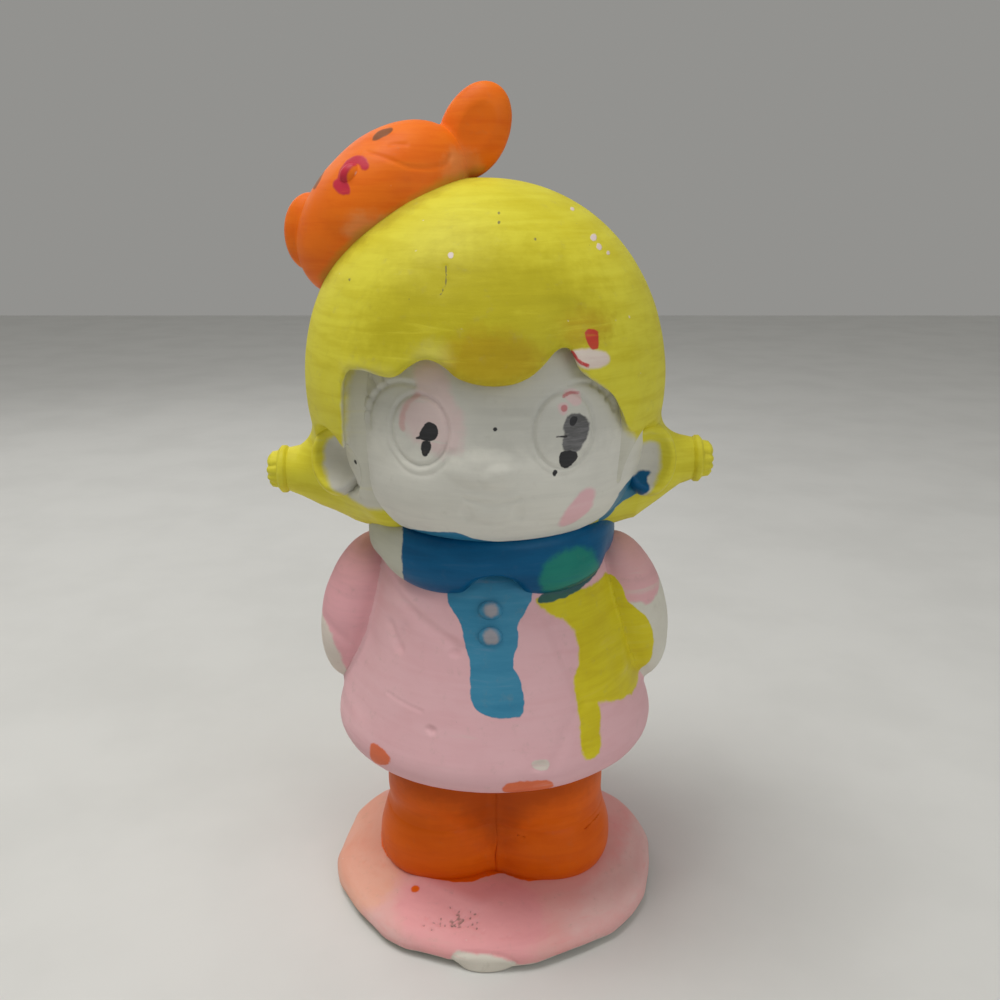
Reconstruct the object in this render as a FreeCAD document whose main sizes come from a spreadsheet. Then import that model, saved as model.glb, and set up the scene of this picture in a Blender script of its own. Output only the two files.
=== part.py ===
import FreeCAD, Part
import Sketcher
import os

# A painted plaster figurine: a girl with bobbed hair and a small bear on her head,
# standing on a round mound. +Z is up, she faces -Y and her own left is +X.
# The origin is the centre of the mound's flat underside.

# Driving sizes in millimetres and degrees: alias, value, meaning.
SIZES = (
    ("joint_gap", 0.1, "clearance all round a peg, and between the two legs"),
    # mound
    ("mound_radius", 43.0, "largest radius of the mound"),
    ("mound_foot_radius_margin", -2.0, "radius where the mound meets the ground, beyond the mound radius"),
    ("mound_rim_height", 2.4, "height of the largest radius"),
    ("mound_shoulder_height", 5.2, "height of the rim's upper edge"),
    ("crown_radius_margin", -11.0, "radius of the flat crown under the shoes, beyond the mound radius"),
    ("crown_height", 9.5, "height of the flat crown"),
    ("mound_rounding", 1.6, "rounding of the rim"),
    # shoes
    ("shoe_side_margin", 0.3, "distance of a shoe's middle from the centre plane, as a margin"),
    ("shoe_forward", 7.0, "how far the shoes stand forward"),
    ("shoe_middle_rise", 7.5, "height of a shoe's widest level, above the crown height"),
    ("shoe_half_width", 15.0, "half width of a shoe"),
    ("shoe_half_length", 23.0, "half length of a shoe"),
    ("shoe_half_height", 12.5, "half height of a whole shoe"),
    ("shoe_peg_radius", 4.0, "radius of the peg under a shoe"),
    ("shoe_peg_length", 4.0, "length of the peg under a shoe"),
    # legs
    ("leg_side_margin", 0.1, "distance of a leg's middle from the centre plane, as a margin"),
    ("leg_forward", 3.0, "how far the legs stand forward"),
    ("leg_foot_rise", 8.5, "height of the leg's seat in the shoe, above the crown height"),
    ("leg_foot_half_width", 13.4, "half width of a leg at its seat"),
    ("leg_foot_half_depth", 16.4, "half depth of a leg at its seat"),
    ("leg_calf_rise", 11.0, "height of the fullest part of a leg, above the leg foot height"),
    ("leg_calf_half_width", 14.2, "half width of a leg there"),
    ("leg_calf_half_depth", 17.6, "half depth of a leg there"),
    ("leg_top_half_width", 13.2, "half width of a leg under the coat"),
    ("leg_top_half_depth", 15.8, "half depth of a leg under the coat"),
    ("leg_peg_radius", 5.0, "radius of the peg on top of a leg"),
    ("leg_peg_length", 3.4, "length of the peg on top of a leg"),
    # coat
    ("hem_foot_height", 44.0, "height of the coat's lowest edge"),
    ("hem_foot_radius_margin", -3.8, "radius of the coat's lowest edge, beyond the hem radius"),
    ("hem_rise", 6.5, "height of the coat's widest level, above the hem foot height"),
    ("hem_radius", 40.2, "largest radius of the coat"),
    ("hem_rounding", 3.0, "rounding of the hem"),
    ("hem_recess", 3.0, "depth of the hollow under the hem"),
    ("hem_lip", 4.0, "width of the lip around that hollow"),
    ("shoulder_rise", -8.0, "height of the coat's shoulder, above the collar height"),
    ("shoulder_radius_margin", -12.6, "radius of the coat's shoulder, beyond the hem radius"),
    ("shoulder_rounding", 5.0, "rounding of the shoulder"),
    ("collar_height", 99.0, "height of the coat's top, where the head sits"),
    ("collar_radius_margin", -8.6, "radius of the coat's top, beyond the shoulder radius"),
    ("coat_wall", 6.5, "thickness of the coat's wall"),
    # buttons
    ("button_half_width", 2.7, "half width of a button"),
    ("button_rise", 1.7, "how far a button stands out"),
    ("button_side", -0.8, "sideways place of the buttons"),
    ("top_button_rise", -12.7, "height of the top button, above the collar height"),
    ("button_pitch", 6.5, "distance between the buttons"),
    # arms behind the back
    ("upper_arm_side_margin", -6.6, "distance of the upper arm from the centre plane, as a margin"),
    ("upper_arm_back_margin", -38.2, "how far the upper arm lies back, beyond the hem radius"),
    ("upper_arm_rise", -23.5, "height of the upper arm's middle, above the collar height"),
    ("upper_arm_half_width", 10.6, "half width of the upper arm"),
    ("upper_arm_half_depth", 13.5, "half depth of the upper arm"),
    ("upper_arm_half_length", 20.5, "half length of the upper arm"),
    ("upper_arm_lean", 15.0, "outward lean of the upper arm"),
    ("forearm_side_margin", -12.7, "distance of the forearm from the centre plane, beyond the hem radius"),
    ("forearm_back_margin", -14.7, "how far the forearm lies back, beyond the hem radius"),
    ("forearm_rise", -36.5, "height of the forearm, above the collar height"),
    ("forearm_half_width", 8.4, "half thickness of the forearm"),
    ("forearm_half_length", 19.5, "half length of the forearm"),
    ("forearm_turn", 45.0, "turn of the forearm about the upright"),
    ("hand_side", 6.4, "distance of a hand from the centre plane"),
    ("hand_back_margin", -0.7, "how far the hands lie back, beyond the hem radius"),
    ("hand_half_width", 6.2, "half width of a hand"),
    ("hand_half_depth", 6.0, "half depth of a hand"),
    ("hand_half_height", 6.6, "half height of a hand"),
    # scarf
    ("scarf_radius_margin", -5.2, "radius of the middle of the scarf, beyond the shoulder radius"),
    ("scarf_half_thickness", 6.8, "half thickness of the scarf"),
    ("scarf_rise", -1.5, "height of the scarf, above the collar height"),
    ("scarf_side", 1.2, "sideways place of the scarf"),
    ("scarf_forward", 1.6, "how far the scarf lies forward"),
    ("scarf_lobe_side", 11.5, "distance of the scarf's two front lobes from its middle"),
    ("scarf_lobe_forward_margin", 0.1, "how far the lobes lie forward of the scarf's middle, as a margin"),
    ("scarf_lobe_rise", -6.4, "height of the lobes, above the collar height"),
    ("scarf_lobe_half_width", 12.5, "half width of a lobe"),
    ("scarf_lobe_half_depth", 6.2, "half depth of a lobe"),
    ("scarf_lobe_half_height", 4.6, "half height of a lobe"),
    # neck
    ("neck_peg_radius", 8.0, "radius of the loose peg in the neck"),
    ("neck_peg_in_coat", 4.6, "length of the neck peg in the coat"),
    ("neck_peg_in_head", 6.0, "length of the neck peg in the head"),
    # head
    ("head_forward", 1.6, "how far the face stands forward"),
    ("chin_rise", 4.6, "height of the chin level above the collar"),
    ("chin_half_width_margin", -7.6, "half width at the chin level, beyond the temple half width"),
    ("chin_half_depth_margin", -6.4, "half depth at the chin level, beyond the temple half depth"),
    ("head_foot_half_width", 20.5, "half width of the head's seat"),
    ("cheek_rise", 13.0, "height of the cheeks above the collar"),
    ("cheek_half_width_margin", -1.4, "half width at the cheeks, beyond the temple half width"),
    ("cheek_half_depth_margin", -1.2, "half depth at the cheeks, beyond the temple half depth"),
    ("temple_rise", 32.0, "height of the temples above the collar"),
    ("temple_half_width", 35.6, "half width at the temples"),
    ("temple_half_depth", 36.4, "half depth at the temples"),
    ("brow_rise_margin", 2.2, "height of the brow above the collar, beyond the hair half height"),
    ("brow_half_width_margin", -2.6, "half width at the brow, beyond the temple half width"),
    ("brow_half_depth_margin", -2.8, "half depth at the brow, beyond the temple half depth"),
    ("skull_rise_margin", 19.2, "height of the hidden top of the head, beyond the hair half height"),
    ("skull_half_width", 18.0, "half width at the hidden top of the head"),
    ("head_cavity_half_height", 18.0, "half height of the hollow in the head"),
    ("head_wall", 8.0, "thickness of the head's wall"),
    # ears
    ("ear_side_margin", 1.4, "distance of an ear from the centre plane, beyond the temple half width"),
    ("ear_forward", 9.0, "how far the ears lie forward"),
    ("ear_rise", 17.5, "height of the ears, above the collar height"),
    ("ear_half_width", 4.0, "half width of an ear"),
    ("ear_half_depth", 7.4, "half depth of an ear"),
    ("ear_half_height", 8.4, "half height of an ear"),
    ("ear_notch_radius", 9.4, "radius of the notch that shows the ear"),
    # hair
    ("hair_middle_rise", -12.1, "height of the hair's widest level, as a margin"),
    ("hair_side", -2.0, "sideways place of the hair"),
    ("hair_half_width_margin", 6.8, "half width of the hair, beyond the temple half width"),
    ("hair_half_depth_margin", 5.2, "half depth of the hair, beyond the temple half depth"),
    ("hair_half_height", 44.8, "half height of the whole hair"),
    ("hair_edge_rise", 2.5, "height of the hair's lower edge, above the collar height"),
    ("fringe_rise", 44.6, "height of the fringe between its lobes, above the collar height"),
    ("face_half_width_margin", -4.2, "half width of the open face, beyond the temple half width"),
    ("face_back", 17.0, "how far forward the side locks end"),
    ("fringe_lobe_radius", 20.0, "radius of the fringe's three lobes"),
    ("fringe_lobe_pitch", 22.0, "distance between the lobes"),
    ("fringe_lobe_side", 0.6, "sideways place of the middle lobe"),
    ("fringe_drop", 4.8, "how far the lobes hang down"),
    # hair flicks
    ("flick_root_side", 30.0, "where a flick begins inside the hair"),
    ("flick_root_half_height", 13.0, "half height of a flick where it begins"),
    ("flick_root_half_depth", 12.0, "half depth of a flick where it begins"),
    ("flick_root_rise", 12.5, "height of a flick's middle where it begins, above the collar height"),
    ("flick_neck_side_margin", -0.4, "where a flick is half way out, beyond the hair half width"),
    ("flick_neck_half_height", 8.6, "half height of a flick there"),
    ("flick_neck_half_depth", 8.2, "half depth of a flick there"),
    ("flick_end_half_height", 5.2, "half height of a flick at its band"),
    ("flick_end_half_depth", 5.0, "half depth of a flick at its band"),
    ("left_flick_reach_margin", 5.6, "how far the left flick reaches, beyond the hair half width"),
    ("left_flick_rise", 15.0, "height of the left flick's end, above the collar height"),
    ("right_flick_reach_margin", 7.6, "how far the right flick reaches, beyond the hair half width"),
    ("right_flick_rise", 12.2, "height of the right flick's end, above the collar height"),
    ("band_width", 2.0, "width of the band around a flick"),
    ("band_rise", 0.6, "how far the band stands out"),
    ("tip_length", 2.8, "length of the hair beyond the band"),
    ("tip_inset", 0.5, "how much narrower the hair is beyond the band"),
    # bear
    ("bear_side_margin", 19.0, "sideways place of the bear's head, as a margin"),
    ("bear_back", 0.9, "how far the bear's head lies back"),
    ("bear_rise", -7.5, "height of the bear's head, above the hair middle height plus hair half height"),
    ("bear_half_width", 23.4, "half width of the bear's head"),
    ("bear_half_depth", 14.8, "half depth of the bear's head"),
    ("bear_half_height", 15.4, "half height of the bear's head"),
    ("bear_tilt", -44.5, "tilt of the bear's head about the front-to-back line"),
    ("bear_ear_half_depth", 5.4, "half depth of the bear's ears"),
    ("bear_high_ear_half_width", 8.0, "half width of the bear's higher ear"),
    ("bear_high_ear_half_height", 11.0, "half height of the bear's higher ear"),
    ("bear_low_ear_half_width", 6.0, "half width of the bear's lower ear"),
    ("bear_low_ear_half_height", 9.0, "half height of the bear's lower ear"),
    ("bear_high_ear_side_margin", 21.2, "sideways place of the bear's higher ear, beyond the bear side"),
    ("bear_high_ear_rise", 18.1, "height of the bear's higher ear, above the bear height"),
    ("bear_high_ear_lean", 25.0, "lean of the bear's higher ear"),
    ("bear_low_ear_side_margin", -17.6, "sideways place of the bear's lower ear, beyond the bear side"),
    ("bear_low_ear_rise", -4.5, "height of the bear's lower ear, above the bear height"),
    ("bear_low_ear_lean", 4.0, "lean of the bear's lower ear"),
    ("bear_ear_back", 2.5, "how far the bear's ears lie back"),
    ("bear_nose_half_width", 3.2, "half width of the bear's nose"),
    ("bear_nose_side_margin", -4.8, "sideways place of the bear's nose, beyond the bear side"),
    ("bear_nose_forward_margin", -5.0, "how far the bear's nose lies forward, beyond the bear half depth"),
    ("bear_nose_rise", 7.1, "height of the bear's nose, above the bear height"),
)

# Sizes that follow from others: name and formula over driving sizes.
TIED = (
    ("mound_foot_radius", "mound_radius + mound_foot_radius_margin"),
    ("crown_radius", "mound_radius + crown_radius_margin"),
    ("shoe_side", "shoe_half_width + shoe_side_margin"),
    ("shoe_middle_height", "crown_height + shoe_middle_rise"),
    ("leg_side", "leg_calf_half_width + leg_side_margin"),
    ("leg_foot_height", "crown_height + leg_foot_rise"),
    ("leg_calf_height", "leg_foot_height + leg_calf_rise"),
    ("hem_foot_radius", "hem_radius + hem_foot_radius_margin"),
    ("hem_height", "hem_foot_height + hem_rise"),
    ("shoulder_height", "collar_height + shoulder_rise"),
    ("shoulder_radius", "hem_radius + shoulder_radius_margin"),
    ("collar_radius", "shoulder_radius + collar_radius_margin"),
    ("top_button_height", "collar_height + top_button_rise"),
    ("upper_arm_side", "hem_radius + upper_arm_side_margin"),
    ("upper_arm_height", "collar_height + upper_arm_rise"),
    ("forearm_side", "hem_radius + forearm_side_margin"),
    ("forearm_back", "hem_radius + forearm_back_margin"),
    ("forearm_height", "collar_height + forearm_rise"),
    ("hand_back", "hem_radius + hand_back_margin"),
    ("scarf_radius", "shoulder_radius + scarf_radius_margin"),
    ("scarf_height", "collar_height + scarf_rise"),
    ("scarf_lobe_forward", "scarf_radius + scarf_lobe_forward_margin"),
    ("scarf_lobe_height", "collar_height + scarf_lobe_rise"),
    ("chin_half_width", "temple_half_width + chin_half_width_margin"),
    ("chin_half_depth", "temple_half_depth + chin_half_depth_margin"),
    ("cheek_half_width", "temple_half_width + cheek_half_width_margin"),
    ("cheek_half_depth", "temple_half_depth + cheek_half_depth_margin"),
    ("brow_rise", "hair_half_height + brow_rise_margin"),
    ("brow_half_width", "temple_half_width + brow_half_width_margin"),
    ("brow_half_depth", "temple_half_depth + brow_half_depth_margin"),
    ("skull_rise", "hair_half_height + skull_rise_margin"),
    ("ear_side", "temple_half_width + ear_side_margin"),
    ("ear_height", "collar_height + ear_rise"),
    ("hair_middle_height", "hair_edge_height + hair_half_height + hair_middle_rise"),
    ("hair_half_width", "temple_half_width + hair_half_width_margin"),
    ("hair_half_depth", "temple_half_depth + hair_half_depth_margin"),
    ("hair_edge_height", "collar_height + hair_edge_rise"),
    ("fringe_height", "collar_height + fringe_rise"),
    ("face_half_width", "temple_half_width + face_half_width_margin"),
    ("flick_root_height", "collar_height + flick_root_rise"),
    ("flick_neck_side", "hair_half_width + flick_neck_side_margin"),
    ("left_flick_reach", "hair_half_width + left_flick_reach_margin"),
    ("left_flick_height", "collar_height + left_flick_rise"),
    ("right_flick_reach", "hair_half_width + right_flick_reach_margin"),
    ("right_flick_height", "collar_height + right_flick_rise"),
    ("bear_side", "hair_side - hair_half_width + bear_side_margin"),
    ("bear_height", "hair_middle_height + hair_half_height + bear_rise"),
    ("bear_high_ear_side", "bear_side + bear_high_ear_side_margin"),
    ("bear_high_ear_height", "bear_height + bear_high_ear_rise"),
    ("bear_low_ear_side", "bear_side + bear_low_ear_side_margin"),
    ("bear_low_ear_height", "bear_height + bear_low_ear_rise"),
    ("bear_nose_side", "bear_side + bear_nose_side_margin"),
    ("bear_nose_forward", "bear_half_depth + bear_nose_forward_margin"),
    ("bear_nose_height", "bear_height + bear_nose_rise"),
    ("upper_arm_back", "hem_radius + upper_arm_back_margin"),
)

# Local names on an ellipse's plane and on the two sides of the figure.
LEFT = 1
RIGHT = -1
SIDES = (("left", LEFT), ("right", RIGHT))
REACH = 200.0  # longer than the figure in any direction, for half spaces
SEAM_TURN = -60.0  # turns the seam of a turned body to where nothing is fitted

doc = FreeCAD.newDocument("Figurine")
sheet = doc.addObject("Spreadsheet::Sheet", "Sizes")


def fill_sheet():
    """Write every driving size into the sheet under its alias."""
    for row, (alias, value, meaning) in enumerate(SIZES, start=1):
        sheet.set(f"A{row}", meaning)
        sheet.set(f"B{row}", str(value))
        sheet.setAlias(f"B{row}", alias)
    doc.recompute()


def size(text):
    """Turn a formula over named sizes into one over the sheet's cells."""
    driving = [alias for alias, _, _ in SIZES]
    formulas = dict(TIED)
    words = []
    for word in text.split():
        if word in formulas:
            words.append(f"( {size(formulas[word])} )")
        else:
            words.append(f"Sizes.{word}" if word in driving else word)
    return " ".join(words)


def bind(thing, **formulas):
    """Bind properties to formulas over aliases; x, y and z place the object."""
    places = {"x": "Placement.Base.x", "y": "Placement.Base.y", "z": "Placement.Base.z"}
    for name, formula in formulas.items():
        thing.setExpression(places.get(name, name), size(formula))
    return thing


def turn(thing, axis, angle):
    """Turn an object about an axis through its own middle by a bound angle."""
    thing.Placement.Rotation = FreeCAD.Rotation(FreeCAD.Vector(*axis), 1.0)
    thing.setExpression("Placement.Rotation.Angle", size(angle))
    return thing


# Round solids ------------------------------------------------------------------


def ellipsoid(name, half_width, half_depth, half_height, **place):
    """A whole ellipsoid with its half sizes along X, Y and Z bound to the sheet."""
    thing = doc.addObject("Part::Ellipsoid", name)
    thing.Angle1 = -90
    thing.Angle2 = 90
    thing.Angle3 = 360
    bind(thing, Radius2=half_width, Radius3=half_depth, Radius1=half_height)
    return bind(thing, **place)


def cylinder(name, radius, height, **place):
    """An upright cylinder standing on its place."""
    thing = doc.addObject("Part::Cylinder", name)
    return bind(thing, Radius=radius, Height=height, **place)


def level_cylinder(name, radius, length, **place):
    """A cylinder that runs from its place towards +Y."""
    thing = cylinder(name, radius, length)
    thing.Placement.Rotation = FreeCAD.Rotation(FreeCAD.Vector(1, 0, 0), -90)
    return bind(thing, **place)


def box(name, length, width, height, **place):
    """A box with one corner at its place."""
    thing = doc.addObject("Part::Box", name)
    return bind(thing, Length=length, Width=width, Height=height, **place)


def level_ring(name, half_width, half_depth, **place):
    """A level ellipse whose longer half size runs front to back."""
    thing = doc.addObject("Part::Ellipse", name)
    thing.Placement.Rotation = FreeCAD.Rotation(FreeCAD.Vector(0, 0, 1), 90)
    wide, deep = size(half_width), size(half_depth)
    thing.setExpression("MajorRadius", f"max({wide}; {deep})")
    thing.setExpression("MinorRadius", f"min({wide}; {deep})")
    thing.setExpression("Placement.Rotation.Angle", f"{wide} > {deep} ? 0 : 90")
    return bind(thing, **place)


def upright_ring(name, half_depth, half_height, **place):
    """An ellipse square to X whose longer half size is upright."""
    thing = doc.addObject("Part::Ellipse", name)
    thing.Placement.Rotation = FreeCAD.Rotation(FreeCAD.Vector(0, 1, 0), -90)
    bind(thing, MajorRadius=half_height, MinorRadius=half_depth)
    return bind(thing, **place)


def loft(name, rings):
    """A smooth solid through rings that are given in order."""
    thing = doc.addObject("Part::Loft", name)
    thing.Sections = rings
    thing.Solid = True
    thing.Ruled = False
    return thing


# Joining and cutting -----------------------------------------------------------


def fuse(name, things):
    """One solid out of several that overlap."""
    thing = doc.addObject("Part::MultiFuse", name)
    thing.Shapes = things
    return thing


def cut(name, base, *tools):
    """The base with each tool taken away from it, in order."""
    result = base
    for count, tool in enumerate(tools, start=1):
        step = name if count == len(tools) else f"{name}_cut_{count}"
        shape = doc.addObject("Part::Cut", step)
        shape.Base = result
        shape.Tool = tool
        result = shape
    return result


def mirrored(name, source):
    """The same piece on the other side of the centre plane."""
    thing = doc.addObject("Part::Mirroring", name)
    thing.Source = source
    thing.Base = FreeCAD.Vector(0, 0, 0)
    thing.Normal = FreeCAD.Vector(1, 0, 0)
    return thing


def group(name, things):
    """Separate solids that share one node."""
    thing = doc.addObject("Part::Compound", name)
    thing.Links = things
    return thing


# Turned bodies -----------------------------------------------------------------


def turned_body(name, corners):
    """A body turned about the upright through corners given as radius and height.

    The first and the last corner lie on the upright.
    """
    body = doc.addObject("PartDesign::Body", name)
    profile = body.newObject("Sketcher::SketchObject", f"{name}_profile")
    plane = [item for item in body.Origin.OriginFeatures if item.Role == "XZ_Plane"][0]
    profile.AttachmentSupport = [(plane, "")]
    profile.MapMode = "FlatFace"
    values = [(sheet_value(radius), sheet_value(height)) for radius, height in corners]
    points = [FreeCAD.Vector(radius, height, 0) for radius, height in values]
    count = len(points)
    for index in range(count):
        profile.addGeometry(Part.LineSegment(points[index], points[(index + 1) % count]))
    for index in range(count):
        after = (index + 1) % count
        profile.addConstraint(Sketcher.Constraint("Coincident", index, 2, after, 1))
    for index, (radius, height) in enumerate(corners):
        place_corner(profile, index, "X", radius, points[index].x)
        place_corner(profile, index, "Y", height, points[index].y)
    turned = body.newObject("PartDesign::Revolution", f"{name}_turned")
    turned.Profile = profile
    turned.ReferenceAxis = (profile, ["V_Axis"])
    turned.Angle = 360
    body.Placement.Rotation = FreeCAD.Rotation(FreeCAD.Vector(0, 0, 1), SEAM_TURN)
    doc.recompute()
    return body


def place_corner(profile, index, direction, formula, value):
    """Tie one corner of a profile to an axis, or to a bound distance from it."""
    if value == 0:
        axis = -2 if direction == "X" else -1
        profile.addConstraint(Sketcher.Constraint("PointOnObject", index, 1, axis))
        return
    kind = f"Distance{direction}"
    number = profile.addConstraint(Sketcher.Constraint(kind, -1, 1, index, 1, value))
    profile.setExpression(f"Constraints[{number}]", size(formula))


def sheet_value(formula):
    """The present value of a sum or difference of named sizes."""
    values = {alias: value for alias, value, _ in SIZES}
    formulas = dict(TIED)
    total = 0.0
    sign = 1.0
    for word in formula.split():
        if word in "+-":
            sign = -1.0 if word == "-" else 1.0
        elif word in formulas:
            total += sign * sheet_value(formulas[word])
        else:
            total += sign * (values[word] if word in values else float(word))
    return total


def round_edges(body, name, radius, corners):
    """Round the turned edges that pass through the given corners."""
    base = body.Tip
    names = []
    for edge_radius, edge_height in corners:
        wanted = (sheet_value(edge_radius), sheet_value(edge_height))
        for number, edge in enumerate(base.Shape.Edges, start=1):
            if not isinstance(edge.Curve, Part.Circle):
                continue
            found = (edge.Curve.Radius, edge.Curve.Center.z)
            if max(abs(found[0] - wanted[0]), abs(found[1] - wanted[1])) < 1e-4:
                names.append(f"Edge{number}")
    rounding = body.newObject("PartDesign::Fillet", name)
    rounding.Base = (base, names)
    rounding.setExpression("Radius", size(radius))
    doc.recompute()
    return body


# The figure's outer forms, which its neighbours are cut to -----------------------


def mound_form():
    """The low round mound with a flat crown."""
    body = turned_body(
        "mound_form",
        (
            ("0", "0"),
            ("mound_foot_radius", "0"),
            ("mound_radius", "mound_rim_height"),
            ("mound_radius - 1", "mound_shoulder_height"),
            ("crown_radius", "crown_height"),
            ("0", "crown_height"),
        ),
    )
    rim = (
        ("mound_radius", "mound_rim_height"),
        ("mound_radius - 1", "mound_shoulder_height"),
    )
    return round_edges(body, "mound_rounded", "mound_rounding", rim)


def coat_form():
    """The bell of the coat, solid, up to the level where the head sits."""
    body = turned_body(
        "coat_form",
        (
            ("0", "hem_foot_height"),
            ("hem_foot_radius", "hem_foot_height"),
            ("hem_radius", "hem_height"),
            ("shoulder_radius", "shoulder_height"),
            ("collar_radius", "collar_height"),
            ("0", "collar_height"),
        ),
    )
    hem = (("hem_foot_radius", "hem_foot_height"), ("hem_radius", "hem_height"))
    round_edges(body, "hem_rounded", "hem_rounding", hem)
    shoulder = (("shoulder_radius", "shoulder_height"),)
    return round_edges(body, "shoulder_rounded", "shoulder_rounding", shoulder)


def head_form():
    """The rounded block of the head, from its seat on the coat to its hidden top."""
    levels = (
        ("collar_height", "head_foot_half_width", "head_foot_half_width"),
        ("collar_height + chin_rise", "chin_half_width", "chin_half_depth"),
        ("collar_height + cheek_rise", "cheek_half_width", "cheek_half_depth"),
        ("collar_height + temple_rise", "temple_half_width", "temple_half_depth"),
        ("collar_height + brow_rise", "brow_half_width", "brow_half_depth"),
        ("collar_height + skull_rise", "skull_half_width", "skull_half_width"),
    )
    rings = []
    for count, (height, wide, deep) in enumerate(levels, start=1):
        ring = level_ring(f"head_ring_{count}", wide, deep, y="0 - head_forward", z=height)
        rings.append(ring)
    return loft("head_form", rings)


def hair_form():
    """The round volume of the hair before the face is opened."""
    return ellipsoid(
        "hair_form",
        "hair_half_width",
        "hair_half_depth",
        "hair_half_height",
        x="hair_side",
        z="hair_middle_height",
    )


def scarf_form():
    """The fat ring of the scarf with its two front lobes, before it is cut."""
    ring = doc.addObject("Part::Torus", "scarf_ring")
    bind(ring, Radius1="scarf_radius", Radius2="scarf_half_thickness")
    bind(ring, x="scarf_side", y="0 - scarf_forward", z="scarf_height")
    lobes = []
    for side, sign in SIDES:
        lobe = ellipsoid(
            f"{side}_scarf_lobe",
            "scarf_lobe_half_width",
            "scarf_lobe_half_depth",
            "scarf_lobe_half_height",
            x=f"scarf_side + {sign} * scarf_lobe_side",
            y="0 - scarf_forward - scarf_lobe_forward",
            z="scarf_lobe_height",
        )
        lobes.append(lobe)
    return fuse("scarf_form", [ring, *lobes])


def ear_form(side, sign):
    """One ear before it is cut to the head."""
    return ellipsoid(
        f"{side}_ear_form",
        "ear_half_width",
        "ear_half_depth",
        "ear_half_height",
        x=f"{sign} * ear_side",
        y="0 - ear_forward",
        z="ear_height",
    )


def arm_forms(side, sign):
    """One arm as two forms: the upper arm beside the coat and the forearm behind it."""
    upper = ellipsoid(
        f"{side}_upper_arm",
        "upper_arm_half_width",
        "upper_arm_half_depth",
        "upper_arm_half_length",
        x=f"{sign} * upper_arm_side",
        y="upper_arm_back",
        z="upper_arm_height",
    )
    turn(upper, (0, -sign, 0), "upper_arm_lean")
    lower = ellipsoid(
        f"{side}_forearm",
        "forearm_half_width",
        "forearm_half_length",
        "forearm_half_width",
        x=f"{sign} * forearm_side",
        y="forearm_back",
        z="forearm_height",
    )
    turn(lower, (0, 0, sign), "forearm_turn")
    return upper, lower


def bear_form():
    """The bear's head before it is cut to the hair."""
    thing = ellipsoid(
        "bear_form",
        "bear_half_width",
        "bear_half_depth",
        "bear_half_height",
        x="bear_side",
        y="bear_back",
        z="bear_height",
    )
    return turn(thing, (0, 1, 0), "bear_tilt")


# Pieces ------------------------------------------------------------------------


def leg_rings(side, sign, name, extra):
    """The three level rings of a leg, wider all round by the given formula."""
    levels = (
        ("leg_foot_height", "leg_foot_half_width", "leg_foot_half_depth"),
        ("leg_calf_height", "leg_calf_half_width", "leg_calf_half_depth"),
        ("hem_foot_height + hem_recess", "leg_top_half_width", "leg_top_half_depth"),
    )
    rings = []
    for count, (height, wide, deep) in enumerate(levels, start=1):
        ring = level_ring(
            f"{side}_{name}_ring_{count}",
            f"{wide} + {extra}",
            f"{deep} + {extra}",
            x=f"{sign} * leg_side",
            y="0 - leg_forward",
            z=height,
        )
        rings.append(ring)
    return rings


def leg_piece(side, sign):
    """A leg with a peg on top that enters the coat, kept to its own side."""
    calf = loft(f"{side}_calf", leg_rings(side, sign, "leg", "0"))
    peg = cylinder(
        f"{side}_leg_peg",
        "leg_peg_radius",
        "2 * leg_peg_length",
        x=f"{sign} * leg_side",
        y="0 - leg_forward",
        z="hem_foot_height + hem_recess - leg_peg_length",
    )
    whole = fuse(f"{side}_whole_leg", [calf, peg])
    inner_face = "joint_gap / 2 - " + f"{REACH}" if sign == LEFT else "0 - joint_gap / 2"
    beyond = box(
        f"{side}_leg_beyond",
        f"{REACH}",
        f"{2 * REACH}",
        f"{REACH}",
        x=inner_face,
        y=f"0 - {REACH}",
    )
    return cut(f"{side}_leg", whole, beyond)


def leg_socket(side, sign):
    """The hole in the coat's floor that a leg's peg enters."""
    return cylinder(
        f"{side}_leg_socket",
        "leg_peg_radius + joint_gap",
        "2 * leg_peg_length + joint_gap",
        x=f"{sign} * leg_side",
        y="0 - leg_forward",
        z="hem_foot_height + hem_recess - leg_peg_length",
    )


def shoe_piece(side, sign, mound):
    """A shoe with a well for the leg and a peg that enters the mound."""
    whole = ellipsoid(
        f"{side}_shoe_form",
        "shoe_half_width",
        "shoe_half_length",
        "shoe_half_height",
        x=f"{sign} * shoe_side",
        y="0 - shoe_forward",
        z="shoe_middle_height",
    )
    well = loft(f"{side}_leg_well", leg_rings(side, sign, "well", "joint_gap"))
    seated = cut(f"{side}_seated_shoe", whole, mound, well)
    peg = cylinder(
        f"{side}_shoe_peg",
        "shoe_peg_radius",
        "2 * shoe_peg_length",
        x=f"{sign} * shoe_side",
        y="0 - shoe_forward",
        z="crown_height - shoe_peg_length",
    )
    return fuse(f"{side}_shoe", [seated, peg])


def shoe_socket(side, sign):
    """The hole in the mound that a shoe's peg enters."""
    return cylinder(
        f"{side}_shoe_socket",
        "shoe_peg_radius + joint_gap",
        "2 * shoe_peg_length",
        x=f"{sign} * shoe_side",
        y="0 - shoe_forward",
        z="crown_height - shoe_peg_length - joint_gap",
    )


def neck_peg_piece():
    """The loose peg that holds the head on the coat."""
    return cylinder(
        "neck_peg",
        "neck_peg_radius",
        "neck_peg_in_coat + neck_peg_in_head",
        z="collar_height - neck_peg_in_coat",
    )


def neck_socket():
    """The hole for the neck peg, half in the coat and half in the head."""
    return cylinder(
        "neck_socket",
        "neck_peg_radius + joint_gap",
        "neck_peg_in_coat + neck_peg_in_head + 2 * joint_gap",
        z="collar_height - neck_peg_in_coat - joint_gap",
    )


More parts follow.
